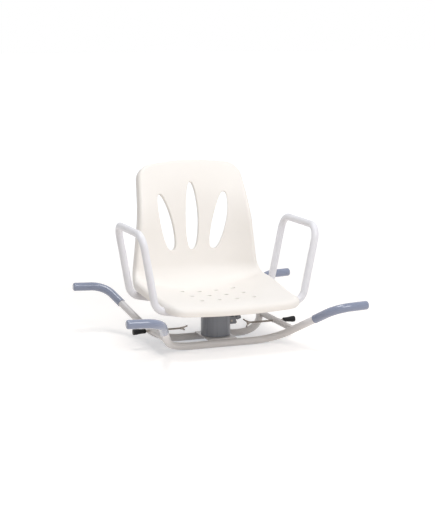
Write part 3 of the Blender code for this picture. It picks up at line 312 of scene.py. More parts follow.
# The surround's light from the chair's left and right, and the floor's own light
DOME_LEFT = 0.17
DOME_RIGHT = 0.74
FLOOR_LIGHT = 0.11
# The floor, with its glow to the eye near the chair and far off
FLOOR_SIZE = 40
FLOOR_GAP = 0.0002
GLOW_FROM = 1.0
GLOW_TO = 3.0
GLOW_NEAR = 0.40
GLOW_FAR = 0.80
# Soft boxes in front and overhead: place, width, height and watts
LAMPS = {"front": ((0.3, -2.3, 2.3), 1.8, 1.4, 32), "top": ((-0.3, 0.0, 3.0), 1.4, 0.9, 25)}

QUARTER = math.pi / 2
SIDES = (("left", -1), ("right", 1))
ENDS = (("front", -1), ("rear", 1))
CORNERS = [(end, sign_y, side, sign_x) for end, sign_y in ENDS for side, sign_x in SIDES]

# Sockets of the colour Mix node, where several share a name
COLOUR_A, COLOUR_B, COLOUR_OUT = 6, 7, 2


def linear(hex_colour):
    """An sRGB hex colour as linear red, green, blue and alpha."""
    values = []
    for start in (0, 2, 4):
        value = int(hex_colour[start:start + 2], 16) / 255
        high = ((value + 0.055) / 1.055) ** 2.4
        values.append(value / 12.92 if value <= 0.04045 else high)
    return (*values, 1.0)


def add_node(tree, kind, settings, links):
    """Add a node: settings name its sockets or its properties, links feed its sockets."""
    node = tree.nodes.new("ShaderNode" + kind)
    for name, value in settings.items():
        if isinstance(name, int) or name in node.inputs:
            node.inputs[name].default_value = value
        else:
            setattr(node, name, value)
    for name, source in links.items():
        tree.links.new(source, node.inputs[name])
    return node


class Finish:
    """A material, its Principled shader and its patterns on the object's own coordinates."""

    def __init__(self, name, look):
        self.material = bpy.data.materials.new(name)
        self.material.use_nodes = True
        self.tree = self.material.node_tree
        self.shader = self.tree.nodes["Principled BSDF"]
        for socket, value in look.items():
            self.shader.inputs[socket].default_value = value
        self.place = add_node(self.tree, "TexCoord", {}, {}).outputs["Object"]

    def feed(self, socket, source):
        """Lead a node's output to a socket of the shader."""
        self.tree.links.new(source, self.shader.inputs[socket])

    def pattern(self, size_mm, detail, squeeze=None):
        """Noise with features of a size in millimetres, squeezed along the axes."""
        place = self.place
        if squeeze:
            mapping = add_node(self.tree, "Mapping", {"Scale": squeeze}, {"Vector": place})
            place = mapping.outputs["Vector"]
        settings = {"Scale": MM_IN_METRE / size_mm, "Detail": detail}
        return add_node(self.tree, "TexNoise", settings, {"Vector": place}).outputs["Fac"]

    def blend(self, share, low, high):
        """A colour between two hex colours."""
        settings = {"data_type": "RGBA", COLOUR_A: linear(low), COLOUR_B: linear(high)}
        return add_node(self.tree, "Mix", settings, {0: share}).outputs[COLOUR_OUT]

    def tint(self, pattern, low, high):
        """Let the colour run between two hex colours with a pattern."""
        self.feed("Base Color", self.blend(pattern, low, high))

    def sheen(self, pattern, low, high):
        """Let the roughness run between two values with a pattern."""
        rough = add_node(self.tree, "MapRange", {"To Min": low, "To Max": high}, {"Value": pattern})
        self.feed("Roughness", rough.outputs["Result"])

    def relief(self, pattern, strength, depth, under=None):
        """Raise the surface by a pattern, on top of the relief under it."""
        links = {"Height": pattern, "Normal": under} if under else {"Height": pattern}
        settings = {"Strength": strength, "Distance": depth}
        raised = add_node(self.tree, "Bump", settings, links).outputs["Normal"]
        self.feed("Normal", raised)
        return raised


def patterned(name, look, pattern, tint, sheen=None, reliefs=()):
    """A finish whose tint and sheen follow one pattern, with reliefs of it or of their own."""
    finish = Finish(name, look)
    noise = finish.pattern(*pattern)
    finish.tint(noise, *tint)
    if sheen:
        finish.sheen(noise, *sheen)
    under = None
    for own, strength, depth in reliefs:
        under = finish.relief(finish.pattern(*own) if own else noise, strength, depth, under)
    return finish


def powder_coat_and_painted_shade():
    """Steel tube sprayed with dry powder and baked.

    The powder flows into a faint orange peel, so its highlights are wide and soft. Low on the
    frame its colour is painted a shade greyer and warmer: painted shade for the seat's shadow and
    warm floor bounce.
    """
    finish = Finish("powder_coat_and_painted_shade", {
        "Roughness": 0.34, "IOR": 1.5, "Coat Weight": 0.25, "Coat Roughness": 0.18})
    drift = finish.pattern(45, 2)
    level = add_node(finish.tree, "SeparateXYZ", {}, {"Vector": finish.place}).outputs["Z"]
    height = add_node(finish.tree, "MapRange", {"From Min": PAINTED_SHADE_LOW_Z, "From Max": PAINTED_SHADE_HIGH_Z},
                      {"Value": level})
    # Painted shade: low down the coat's colour is painted greyer and warmer, for the shade under
    # the seat and the warm light bounced up from the floor; higher up it keeps its own cool white
    tint = add_node(finish.tree, "Mix", {"data_type": "RGBA"}, {
        0: height.outputs["Result"], COLOUR_A: finish.blend(drift, "DAD7D6", "E0DDDC"),
        COLOUR_B: finish.blend(drift, "EAEAF0", "EFEFF4")})
    finish.feed("Base Color", tint.outputs[COLOUR_OUT])
    # Real orange peel is about 1 mm across; it is drawn 3 mm across so that it shows
    finish.relief(finish.pattern(3, 1), 0.5, 0.00004)
    return finish


def zinc_plated_steel():
    """Steel fasteners plated with zinc and passivated.

    A pale, warm grey metal whose thin film shifts in tint from patch to patch.
    """
    finish = patterned("zinc_plated_steel", {"Metallic": 1.0}, (5, 3), ("A89F98", "B5AFA8"),
                       (0.42, 0.58))
    # Plating crystals are far finer; they are drawn 1 mm across so that they show
    crystals = add_node(finish.tree, "TexVoronoi", {"Scale": MM_IN_METRE},
                        {"Vector": finish.place})
    finish.relief(crystals.outputs["Distance"], 0.2, 0.00003)
    return finish


# Each slot of the record with the finish that it gets here
FINISHES = {
    "white_powder_coat": powder_coat_and_painted_shade(),
    # Soft vinyl that the hot tube ends were dipped in. It sets glossy, with slow waves where it
    # ran down and fine pimples on them, so highlights are bright and wander.
    "blue_grey_vinyl": patterned(
        "dipped_vinyl", {"Roughness": 0.16, "IOR": 1.52, "Coat Weight": 0.8,
                         "Coat Roughness": 0.04}, (30, 2), ("8089A2", "8891AA"),
        reliefs=[((14, 1), 0.4, 0.0003), ((1.5, 0), 0.3, 0.00003)]),
    # Blow-moulded polyethylene with a lightly sanded mould face. It looks warm and satin, a
    # little softer in the hollows. Its grain is about 0.3 mm, drawn 1.2 mm so that it shows.
    "white_seat_plastic": patterned(
        "blow_moulded_polyethylene", {"IOR": 1.52}, (90, 3), ("F6F2ED", "FAF6F2"), (0.40, 0.50),
        [((1.2, 2), 0.4, 0.00005)]),
    # Injection-moulded ABS, drawn upwards off its mould, which leaves faint upright streaks in
    # a satin grey skin.
    "grey_column_plastic": patterned(
        "injection_moulded_abs", {"IOR": 1.53, "Coat Weight": 0.3, "Coat Roughness": 0.15},
        (5, 3, (1, 1, 0.04)), ("72767F", "838790"), (0.24, 0.34), [(None, 0.3, 0.0001)]),
    # Injection-moulded glass-filled nylon from a spark-eroded mould, a dry-looking mid grey with
    # an even sparkle. The mould's grain is about 0.1 mm, drawn 0.8 mm so that it shows.
    "grey_lever_plastic": patterned(
        "glass_filled_nylon", {"IOR": 1.53}, (0.8, 2), ("7E8188", "8F9299"), (0.45, 0.60),
        [(None, 0.4, 0.00005)]),
    # Compression-moulded black rubber, satin, with a faint grey bloom that gathers in patches.
    "black_rubber": patterned(
        "moulded_rubber", {"IOR": 1.52, "Specular IOR Level": 0.25}, (6, 4),
        ("0C0C0E", "151518"), (0.32, 0.50), [((0.6, 1), 0.4, 0.00004)]),
    "zinc_steel": zinc_plated_steel(),
    # Bright steel, turned or stamped and left bare. Fine tool marks run across it and break up
    # its reflections. They are about 0.2 mm apart, drawn 1 mm apart so that they show.
    "plain_steel": patterned(
        "turned_steel", {"Metallic": 1.0}, (12, 3, (1, 1, 12)), ("9B9EA2", "B3B5B8"),
        (0.25, 0.42)),
    # Natural nylon bushes and washer, cut from rod: waxy and off-white, slightly clouded.
    "nylon": patterned(
        "machined_nylon", {"IOR": 1.53}, (8, 2), ("D3D0C5", "DEDBD2"), (0.35, 0.45)),
}


def as_mesh(shape, name):
    """Turn a bmesh into a mesh and let go of it."""
    mesh = bpy.data.meshes.new(name)
    shape.to_mesh(mesh)
    shape.free()
    return mesh


def add_object(name, data):
    """Put a new object into the scene."""
    made = bpy.data.objects.new(name, data)
    bpy.context.scene.collection.objects.link(made)
    return made


def add_piece(name, shape, body, slot, nodes=(), sharp=SHARP):
    """A piece from a bmesh: it rides on a body, wears a slot's finish and stands for nodes."""
    bmesh.ops.remove_doubles(shape, verts=shape.verts, dist=MERGE)
    bmesh.ops.recalc_face_normals(shape, faces=shape.faces)
    mesh = as_mesh(shape, name)
    mesh.materials.append(FINISHES[slot].material)
    mesh.shade_smooth()
    mesh.set_sharp_from_angle(angle=math.radians(sharp))
    made = add_object(name, mesh)
    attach(made, body)
    if nodes:
        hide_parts(*nodes)
    return made


def stand_in(node, made_how, shape, body, slot, sharp=SHARP):
    """A piece that stands for one node and is named after it and after how it is made."""
    return add_piece(node + "_" + made_how, shape, body, slot, [node], sharp)


def soften(made, width, angle=SOFTENED):
    """Round a piece's sharp edges, flat faces kept flat."""
    bevel = made.modifiers.new("soft_edges", "BEVEL")
    bevel.width = width
    bevel.segments = EDGE_STEPS
    bevel.limit_method = "ANGLE"
    bevel.angle_limit = math.radians(angle)
    bevel.use_clamp_overlap = True
    bevel.harden_normals = True


def cut_away(made, cutter_shape):
    """Take a shape away from a piece, for good."""
    bmesh.ops.recalc_face_normals(cutter_shape, faces=cutter_shape.faces)
    cutter = add_object("cutter", as_mesh(cutter_shape, "cutter"))
    modifier = made.modifiers.new("cut", "BOOLEAN")
    modifier.object = cutter
    modifier.solver = "EXACT"
    with bpy.context.temp_override(object=made, active_object=made):
        bpy.ops.object.modifier_apply(modifier=modifier.name)
    bpy.data.objects.remove(cutter)


def verts_in(geometry):
    """The vertices in what an operator returns."""
    return [item for item in geometry if isinstance(item, bmesh.types.BMVert)]


def edges_in(geometry):
    """The edges in what an operator returns."""
    return [item for item in geometry if isinstance(item, bmesh.types.BMEdge)]


def points_of(edges):
    """The vertices that some edges join."""
    return list({point for edge in edges for point in edge.verts})


def placed(place, angle, axis):
    """A matrix that turns about an axis and then moves to a place."""
    return Matrix.Translation(place) @ Matrix.Rotation(angle, 4, axis)


def facing(place, heading):
    """A matrix that turns Z along a heading and then moves to a place."""
    return Matrix.Translation(place) @ heading.to_track_quat("Z", "Y").to_matrix().to_4x4()


def circle(shape, sides, radius, matrix=Matrix.Identity(4)):
    """Draw a circle about Z, put it in place and return its ring of edges."""
    points = bmesh.ops.create_circle(shape, segments=sides, radius=radius, matrix=matrix)["verts"]
    return list({edge for point in points for edge in point.link_edges})


def drawn_on(shape, ring, step=(0, 0, 0)):
    """Extrude a ring of edges, move the new ring by a step and return it."""
    grown = bmesh.ops.extrude_edge_only(shape, edges=ring)["geom"]
    points = verts_in(grown)
    bmesh.ops.translate(shape, vec=step, verts=points)
    fresh = set(points)
    return [edge for edge in edges_in(grown) if fresh.issuperset(edge.verts)]


def bent_tube(shape, corners, bend_radii, radius):
    """Draw a ring along straight lengths and round each bend, as tube is bent on a former."""
    corners = [Vector(corner) for corner in corners]
    place = corners[0]
    heading = (corners[1] - place).normalized()
    ring = circle(shape, TUBE_SIDES, radius, facing(place, heading))
    for corner, after, bend_r in zip(corners[1:], corners[2:], bend_radii):
        onward = (after - corner).normalized()
        angle = heading.angle(onward)
        setback = bend_r * math.tan(angle / 2)
        bend_start = corner - heading * setback
        ring = drawn_on(shape, ring, bend_start - place)
        axis = heading.cross(onward).normalized()
        bent = bmesh.ops.spin(shape, geom=ring, cent=bend_start + axis.cross(heading) * bend_r,
                              axis=axis, angle=angle, steps=BEND_STEPS, use_duplicate=False)
        ring = edges_in(bent["geom_last"])
        place = corner + onward * setback
        heading = onward
    return drawn_on(shape, ring, corners[-1] - place)


def coated_tube(node, body, corners, bend_radii, radius=TUBE_R):
    """A bent tube with closed ends that stands for a node."""
    shape = bmesh.new()
    bent_tube(shape, corners, bend_radii, radius)
    bmesh.ops.holes_fill(shape, edges=shape.edges)
    return stand_in(node, "coated", shape, body, "white_powder_coat")


def turned(profile, matrix=Matrix.Identity(4), sides=SMALL_SIDES, shape=None):
    """Turn (radius, height) points about Z, as on a lathe, and put them in place in a shape."""
    shape = bmesh.new() if shape is None else shape
    before = set(shape.verts)
    points = [shape.verts.new((radius, 0, height)) for radius, height in profile]
    ends = list(zip(points, points[1:]))
    if profile[0][0] > 0:
        ends.append((points[-1], points[0]))
    edges = [shape.edges.new(pair) for pair in ends]
    bmesh.ops.spin(shape, geom=points + edges, axis=(0, 0, 1), cent=(0, 0, 0),
                   angle=2 * math.pi, steps=sides, use_merge=True, use_duplicate=False)
    bmesh.ops.transform(shape, matrix=matrix, verts=[v for v in shape.verts if v not in before])
    return shape


def inwards(end, profile):
    """A profile of (radius, height) points from one of (radius, way in from the end) points."""
    return [(radius, end - inset) for radius, inset in profile]


def flat_bar(shape, outline, thickness, matrix):
    """A flat bar from an outline of (x, y) points, its middle at z = 0, put in place."""
    points = [shape.verts.new((x, y, -thickness / 2)) for x, y in outline]
    face = shape.faces.new(points)
    grown = bmesh.ops.extrude_face_region(shape, geom=[face], use_keep_orig=True)["geom"]
    upper = verts_in(grown)
    bmesh.ops.translate(shape, vec=(0, 0, thickness), verts=upper)
    bmesh.ops.transform(shape, matrix=matrix, verts=points + upper)
    return points + upper


def arc(radius, start, end, steps, centre=(0, 0)):
    """Points (x, y) of an arc about a centre."""
    angles = [start + (end - start) * step / steps for step in range(steps + 1)]
    return [(centre[0] + radius * math.cos(angle), centre[1] + radius * math.sin(angle))
            for angle in angles]


def round_edges(shape, edges, radius, segments):
    """Round some edges of a shape."""
    bmesh.ops.bevel(shape, geom=edges, offset=radius, segments=segments, affect="EDGES",
                    profile=0.5, material=-1)


def box_shape(low, high, corner_r=0, corner_steps=PLATE_CORNER_STEPS):
    """A box between two corners, its upright edges rounded."""
    shape = bmesh.new()
    bmesh.ops.create_cube(shape, size=1)
    bmesh.ops.scale(shape, vec=Vector(high) - Vector(low), verts=shape.verts)
    bmesh.ops.translate(shape, vec=(Vector(low) + Vector(high)) / 2, verts=shape.verts)
    if corner_r:
        upright = [edge for edge in shape.edges
                   if abs(edge.verts[0].co.z - edge.verts[1].co.z) > MERGE]
        round_edges(shape, upright, corner_r, corner_steps)
    return shape


# Frame


def leg_corners(sign_x, sign_y, tip_x=OVERALL_HALF_WIDTH):
    """The corners of one frame tube from its tip to its straight run on one side."""
    return [Vector((sign_x * tip_x, sign_y * GRIP_Y, GRIP_Z + GRIP_RISE)),
            Vector((sign_x * GRIP_INNER_X, sign_y * GRIP_Y, GRIP_Z)),
            Vector((sign_x * RUN_END_X, sign_y * RUN_Y, TUBE_R))]


def make_frame_tube(end, sign_y):
    """One long tube: grip, leg, run, leg, grip."""
    left, right = [leg_corners(sign_x, sign_y, OVERALL_HALF_WIDTH - SLEEVE_ROUND)
                   for sign_x in (-1, 1)]
    coated_tube(end + "_tube", "frame", left + right[::-1],
                [GRIP_BEND_R, RUN_BEND_R, RUN_BEND_R, GRIP_BEND_R])


def make_sleeve(side, sign_x, end, sign_y):
    """A dipped sleeve: an open lower end, a bend and a round closed tip."""
    tip, grip, run = leg_corners(sign_x, sign_y)
    down = (run - grip).normalized()
    outward = (tip - grip).normalized()
    radius = TUBE_R + SLEEVE_WALL
    centre = tip - outward * SLEEVE_ROUND
    shape = bmesh.new()
    ring = bent_tube(shape, [grip + down * SLEEVE_ON_LEG, grip, centre], [GRIP_BEND_R], radius)
    last = 0
    for step in range(SLEEVE_ROUND_STEPS):
        angle = QUARTER * (step + 1) / SLEEVE_ROUND_STEPS
        ahead = SLEEVE_ROUND * (math.sin(angle) - math.sin(last))
        ring = drawn_on(shape, ring, outward * ahead)
        centre = centre + outward * ahead
        narrow = ((radius - SLEEVE_ROUND * (1 - math.cos(angle)))
                  / (radius - SLEEVE_ROUND * (1 - math.cos(last))))
        bmesh.ops.scale(shape, vec=(narrow, narrow, narrow), verts=points_of(ring),
                        space=Matrix.Translation(-centre))
        last = angle
    bmesh.ops.holes_fill(shape, edges=ring)
    made = stand_in("grip_sleeve_" + end + "_" + side, "dipped", shape, "frame",
                    "blue_grey_vinyl", sharp=SHARP_DIPPED)
    wall = made.modifiers.new("wall", "SOLIDIFY")
    wall.thickness = SLEEVE_WALL
    wall.offset = -1
    soften(made, COATED_EDGE, angle=SHARP_DIPPED)


def add_weld(shape, brace_x, sign_x, sign_y):
    """A bead along the joint where a brace meets a leg."""
    grip, foot = leg_corners(sign_x, sign_y)[1:]
    heading = (grip - foot).normalized()
    along = Vector((0, sign_y, 0))
    path = []
    for x, z in arc(BRACE_R, 0, 2 * math.pi, SMALL_SIDES)[:-1]:
        start = Vector((brace_x + x, 0, BRACE_Z + z))
        # Where the brace's side line meets the leg's round side
        gap = start - foot
        across_gap = gap - heading * gap.dot(heading)
        across_along = along - heading * along.dot(heading)
        a = across_along.length_squared
        b = 2 * across_gap.dot(across_along)
        c = across_gap.length_squared - TUBE_R ** 2
        reach = (-b - math.sqrt(max(b * b - 4 * a * c, 0))) / (2 * a)
        path.append(start + along * reach)
    rings = []
    for index, place in enumerate(path):
        ahead = (path[(index + 1) % len(path)] - path[index - 1]).normalized()
        rings.append(circle(shape, WELD_SIDES, WELD_R, facing(place, ahead)))
    for index, ring in enumerate(rings):
        bmesh.ops.bridge_loops(shape, edges=rings[index - 1] + ring)


def make_brace(side, sign_x):
    """A brace between the legs, its welds and the bush for its clamp screw."""
    low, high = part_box(side + "_brace")
    brace_x = (low.x + high.x) / 2
    made = coated_tube(side + "_brace", "frame",
                       [(brace_x, low.y, BRACE_Z), (brace_x, high.y, BRACE_Z)], [], BRACE_R)
    reach = BRACE_R + BUSH_PROUD
    sideways = placed((brace_x, 0, BRACE_Z), QUARTER, "Y")
    cut_away(made, turned([(0, reach), (BUSH_HOLE_R, reach), (BUSH_HOLE_R, -reach), (0, -reach)],
                          sideways))
    shape = bmesh.new()
    for sign_y in (-1, 1):
        add_weld(shape, brace_x, sign_x, sign_y)
    add_piece(side + "_brace_welds", shape, "frame", "white_powder_coat", sharp=SHARP_DIPPED)
    shape = turned([(BUSH_R, reach), (BUSH_R, -reach), (SCREW_BORE_R, -reach),
                    (SCREW_BORE_R, reach)], sideways)
    soften(stand_in(side + "_screw_bush", "coated", shape, "frame", "white_powder_coat"),
           STEEL_EDGE)


def make_plate(node, made_how, body, slot, corner_r, edge):
    """A steel plate, its corners round and its edges broken."""
    soften(stand_in(node, made_how, box_shape(*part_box(node), corner_r), body, slot), edge)


# Column


def make_column():
    """The turning column: outer wall, web, recess and hub, with a window for the lever."""
    low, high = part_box("swivel_housing")
    web_z = high.z - WEB_THICK
    hub_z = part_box("thrust_washer")[1].z + CLEARANCE
    inner_r = HOUSING_R - HOUSING_WALL
    shape = turned([(HOUSING_R, high.z), (HOUSING_R, low.z), (inner_r, low.z), (inner_r, web_z),
                    (SHELF_R, web_z), (SHELF_R, SHELF_Z - SHELF_THICK),
                    (HUB_OUTER_R, SHELF_Z - SHELF_THICK), (HUB_OUTER_R, hub_z),
                    (HUB_BORE_R, hub_z), (HUB_BORE_R, SHELF_Z), (RECESS_R, SHELF_Z),
                    (RECESS_R, high.z)], sides=TURNED_SIDES)
    made = add_piece("column_moulded", shape, "seat", "grey_column_plastic", ["swivel_housing"])
    window = LEVER_BOSS_R + WINDOW_SPARE
    cut_away(made, box_shape((inner_r - CUT_PAST, -SLOT_HALF, LEVER_PIVOT.z - window),
                             (HOUSING_R + CUT_PAST, SLOT_HALF, LEVER_PIVOT.z + window)))
    soften(made, COLUMN_EDGE)


def make_bracket():
    """The block with two ears that carries the lever."""
    low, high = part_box("lever_bracket")
    shape = box_shape((BRACKET_INNER_X, low.y, low.z), (BRACKET_FACE_X, high.y, high.z),
                      BRACKET_CORNER_R, BRACKET_CORNER_STEPS)
    made = stand_in("lever_bracket", "moulded", shape, "seat", "grey_lever_plastic")
    radius, top, bottom = HOUSING_R + BRACKET_FIT, high.z + CUT_PAST, low.z - CUT_PAST
    cut_away(made, turned([(0, top), (radius, top), (radius, bottom), (0, bottom)],
                          sides=TURNED_SIDES))
    cut_away(made, box_shape((BRACKET_INNER_X - CUT_PAST, -SLOT_HALF, BRACKET_FLOOR_Z),
                             (BRACKET_FACE_X + CUT_PAST, SLOT_HALF, top)))
    soften(made, BRACKET_EDGE)


def make_lever():
    """The flat lever, tooth to tang, and its knob."""
    # The lever is drawn at its pivot and lifted from where it is engaged
    lifted = placed(LEVER_PIVOT, -LEVER_LIFT, "Y")
    arm_half = LEVER_ARM_HEIGHT / 2
    arm_angle = math.asin(arm_half / LEVER_BOSS_R)
    tang_angle = math.asin(TANG_HEIGHT / 2 / LEVER_BOSS_R)
    tang_reach = math.hypot(TANG_LENGTH, TANG_HEIGHT / 2)
    tang_corner = math.asin(TANG_HEIGHT / 2 / tang_reach)
    outline = [(TOOTH_INNER_X, arm_half), (TOOTH_INNER_X, TOOTH_Z),
               (TOOTH_INNER_X + TOOTH_THICK, TOOTH_Z), (TOOTH_INNER_X + TOOTH_THICK, -arm_half)]
    outline += arc(LEVER_BOSS_R, math.pi + arm_angle, 2 * math.pi + TANG_ANGLE - tang_angle,
                   LEVER_LOWER_STEPS)
    outline += arc(tang_reach, TANG_ANGLE - tang_corner, TANG_ANGLE + tang_corner, 1)
    outline += arc(LEVER_BOSS_R, TANG_ANGLE + tang_angle, math.pi - arm_angle,
                   LEVER_UPPER_STEPS)
    shape = bmesh.new()
    flat_bar(shape, outline, LEVER_THICK, lifted @ Matrix.Rotation(QUARTER, 4, "X"))
    soften(stand_in("lock_lever", "stamped", shape, "lock_lever", "plain_steel"), STEEL_EDGE)
    shape = bmesh.new()
    bmesh.ops.create_cube(shape, size=1)
    bmesh.ops.scale(shape, vec=KNOB_SIZE, verts=shape.verts)
    round_edges(shape, shape.edges[:], KNOB_EDGE, KNOB_STEPS)
    bmesh.ops.translate(shape, vec=(KNOB_START + KNOB_SIZE.x / 2, 0, 0), verts=shape.verts)
    bmesh.ops.transform(shape, matrix=lifted @ Matrix.Rotation(-TANG_ANGLE, 4, "Y"),
                        verts=shape.verts)
    stand_in("lever_knob", "moulded", shape, "lock_lever", "grey_lever_plastic")


# Fasteners


def add_hex_bolt(shape, matrix, shank_r, head_r, head, shank):
    """A hexagon bolt, its head below z = 0 with the corners turned off, its shank above."""
    seat = circle(shape, HEAD_SIDES, head_r)
    made = points_of(seat)
    for point in made:
        turn = math.atan2(point.co.y, point.co.x) % (math.pi / 3) - math.pi / 6
        point.co *= math.cos(math.pi / 6) / math.cos(turn)
    face_r = head_r * HEAD_FACE_SHARE

    def grown(ring, radius, height):
        """Draw a ring on to a new radius, or its own, and a height that may rise outwards."""
        ring = drawn_on(shape, ring)
        for point in points_of(ring):
            reach = point.co.xy.length
            point.co.xy = point.co.xy * ((radius or reach) / reach)
            point.co.z = height(reach)
            made.append(point)
        return ring

    lower = grown(seat, None, lambda reach: (reach - face_r) * HEAD_CHAMFER - head)
    face = grown(lower, face_r, lambda reach: -head)
    collar = grown(seat, shank_r, lambda reach: 0)
    tip = grown(collar, None, lambda reach: shank)
    for ring in (face, tip):
        bmesh.ops.holes_fill(shape, edges=ring)
    bmesh.ops.transform(shape, matrix=matrix, verts=made)


def add_bolts(name, sizes, places):
    """One piece for bolts of one size, from the place of each node."""
    shape = bmesh.new()
    for place in places.values():
        add_hex_bolt(shape, place, *sizes)
    add_piece(name, shape, "seat", "zinc_steel", list(places))


def make_bolts():
    """The bolts under the seat and the screws and pin of the lever's bracket."""
    plate_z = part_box("plate_bolt_front_left")[0].z + PLATE_BOLT[2]
    add_bolts("plate_bolts_plated", PLATE_BOLT, {
        "plate_bolt_" + end + "_" + side:
            Matrix.Translation((sign_x * PLATE_BOLT_X, sign_y * PLATE_BOLT_Y, plate_z))
        for end, sign_y, side, sign_x in CORNERS})
    add_bolts("arm_bolts_plated", ARM_BOLT, {
        "arm_bolt_" + end + "_" + side + "_" + reach:
            Matrix.Translation((sign_x * x, ARM_LEGS[end][0],
                                ARM_LEGS[end][2] - TUBE_R - CLEARANCE))
        for end, sign_y, side, sign_x in CORNERS for reach, x in ARM_BOLTS_X.items()})
    screw_x = BRACKET_FACE_X + CLEARANCE
    add_bolts("bracket_screws_plated", BRACKET_SCREW, {
        "bracket_screw_" + end:
            placed((screw_x, sign_y * BRACKET_SCREW_Y, BRACKET_SCREW_Z), -QUARTER, "Y")
        for end, sign_y in ENDS})
    half = inwards(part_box("lever_pin")[1].y, PIN_END)
    shape = turned(half + [(radius, -height) for radius, height in half[::-1]],
                   placed(LEVER_PIVOT, QUARTER, "X"))
    stand_in("lever_pin", "plated", shape, "seat", "zinc_steel")


# Clamps


def add_thread(shape, start_x, end_x, sign_x):
    """A rod with a cut thread along X, one groove per pitch."""
    turns = round((end_x - start_x) / SCREW_PITCH)
    flank = SCREW_PITCH * THREAD_FLANK
    crest = SCREW_PITCH * THREAD_CREST
    profile = [(SCREW_CORE_R, 0), (SCREW_R, flank), (SCREW_R, flank + crest),
               (SCREW_CORE_R, 2 * flank + crest), (SCREW_CORE_R, SCREW_PITCH)]
    points = [shape.verts.new((radius, 0, height)) for radius, height in profile]
    edges = [shape.edges.new(pair) for pair in zip(points, points[1:])]
    bmesh.ops.spin(shape, geom=points + edges, axis=(0, 0, 1), cent=(0, 0, 0),
                   dvec=(0, 0, SCREW_PITCH / SCREW_SIDES), angle=2 * math.pi * turns,
                   steps=turns * SCREW_SIDES, use_duplicate=False)
    bmesh.ops.remove_doubles(shape, verts=shape.verts, dist=SCREW_PITCH * THREAD_MERGE)
    bmesh.ops.holes_fill(shape, edges=[edge for edge in shape.edges if edge.is_boundary])
    lay = placed((sign_x * start_x, 0, BRACE_Z), sign_x * QUARTER, "Y")
    bmesh.ops.transform(shape, matrix=lay, verts=shape.verts)


def make_clamp(side, sign_x):
    """A clamp screw with its wing head, and its rubber tip."""
    hub_end = WING_END_X - WING_HUB_LENGTH
    shape = bmesh.new()
    add_thread(shape, hub_end + SCREW_IN_HUB, PAD_INNER_X + SCREW_IN_PAD - SCREW_TIP_GAP, sign_x)
    along = placed((0, 0, BRACE_Z), sign_x * QUARTER, "Y")
    turned(inwards(WING_END_X, WING_HUB), along, shape=shape)
    tip_r = WING_LEAN / 4
    for sign in (1, -1):
        outline = [(sign_x * hub_end, sign * WING_ROOT), (sign_x * WING_END_X, sign * WING_ROOT)]
        round_tip = arc(tip_r, -math.pi / 8, math.pi * 7 / 8, WING_TIP_STEPS,
                        (hub_end - WING_LEAN / 2, WING_SPREAD - tip_r))
        outline += [(sign_x * x, sign * z) for x, z in round_tip]
        place = placed((0, 0, BRACE_Z), QUARTER - sign_x * (QUARTER - WING_TILT), "X")
        points = set(flat_bar(shape, outline, WING_THICK, place))
        rim = [edge for edge in shape.edges if points.issuperset(edge.verts)]
        round_edges(shape, rim, WING_EDGE, EDGE_STEPS)
    stand_in(side + "_clamp_screw", "plated", shape, side + "_screw", "zinc_steel")
    bore_end = PAD_INNER_X + SCREW_IN_PAD + CLEARANCE
    shape = turned(inwards(PAD_INNER_X + PAD_LENGTH, PAD_OUTSIDE) + [
        (SCREW_BORE_R, PAD_INNER_X), (SCREW_BORE_R, bore_end), (0, bore_end)], along)
    stand_in(side + "_pad", "rubber", shape, side + "_pad", "black_rubber", sharp=SHARP_MOULDED)


# Arms


def arm_corners(sign_x):
    """One arm's corners from its front inner end to its rear inner end."""
    ways = []
    for low_y, top_y, run_z in ARM_LEGS.values():
        ways.append([(sign_x * ARM_RUN_INNER_X, low_y, run_z),
                     (sign_x * ARM_RUN_OUTER_X, low_y, run_z),
                     (sign_x * ARM_LOW_X, low_y, ARM_LOW_Z),
                     (sign_x * ARM_TOP_X, top_y, ARM_TOP_Z)])
    return ways[0] + ways[1][::-1]


def make_arm(side, sign_x):
    """One arm tube and the plugs in its ends."""
    coated_tube(side + "_arm", "seat", arm_corners(sign_x), ARM_BEND_RADII + ARM_BEND_RADII[::-1])
    shape = bmesh.new()
    for low_y, top_y, run_z in ARM_LEGS.values():
        place = placed((sign_x * ARM_RUN_INNER_X, low_y, run_z), sign_x * QUARTER, "Y")
        turned(PLUG, place, shape=shape)
    add_piece(side + "_arm_plugs_rubber", shape, "seat", "black_rubber",
              ["arm_plug_" + end + "_" + side for end in ARM_LEGS])


# Seat shell


def middle_pieces():
    """The shell's middle line as (length, turn in radians) pieces, front to top."""
    lip_forward = LIP_LENGTH * math.cos((LIP_ANGLE - PAN_SLOPE) / 2)
    pan_length = (PAN_END_Y - SEAT_FRONT_Y - FRONT_RIM_R - lip_forward) / math.cos(PAN_SLOPE)
    crease_turn = QUARTER - LOW_LEAN + PAN_SLOPE
    return [(LIP_LENGTH, -LIP_ANGLE - PAN_SLOPE), (pan_length, 0),
            (CREASE_R * crease_turn, crease_turn), (LOW_BACK_LENGTH, 0),
            (UPPER_BACK_LENGTH, LOW_LEAN - TOP_LEAN)]


MIDDLE = middle_pieces()
MIDDLE_LENGTH = sum(length for length, turn in MIDDLE)
CREASE_START = MIDDLE[0][0] + MIDDLE[1][0]
CREASE_END = CREASE_START + MIDDLE[2][0]
LOW_BACK_END = CREASE_END + MIDDLE[3][0]


def walk(distance):
    """The point (y, z) and the heading at a distance along the middle line."""
    y = SEAT_FRONT_Y + FRONT_RIM_R
    z = 0.0
    heading = LIP_ANGLE
    left = max(distance, 0.0)
    for index, (length, turn) in enumerate(MIDDLE):
        step = left if index == len(MIDDLE) - 1 else min(left, length)
        half_bend = turn * step / length / 2
        chord = step * math.sin(half_bend) / half_bend if half_bend else step
        y += chord * math.cos(heading + half_bend)
        z += chord * math.sin(heading + half_bend)
        heading += 2 * half_bend
        left -= step
    return y, z, heading


AXIS_DISTANCE = LIP_LENGTH - walk(LIP_LENGTH)[0] / math.cos(PAN_SLOPE)
LIFT = PAN_Z_AT_AXIS - walk(AXIS_DISTANCE)[1]


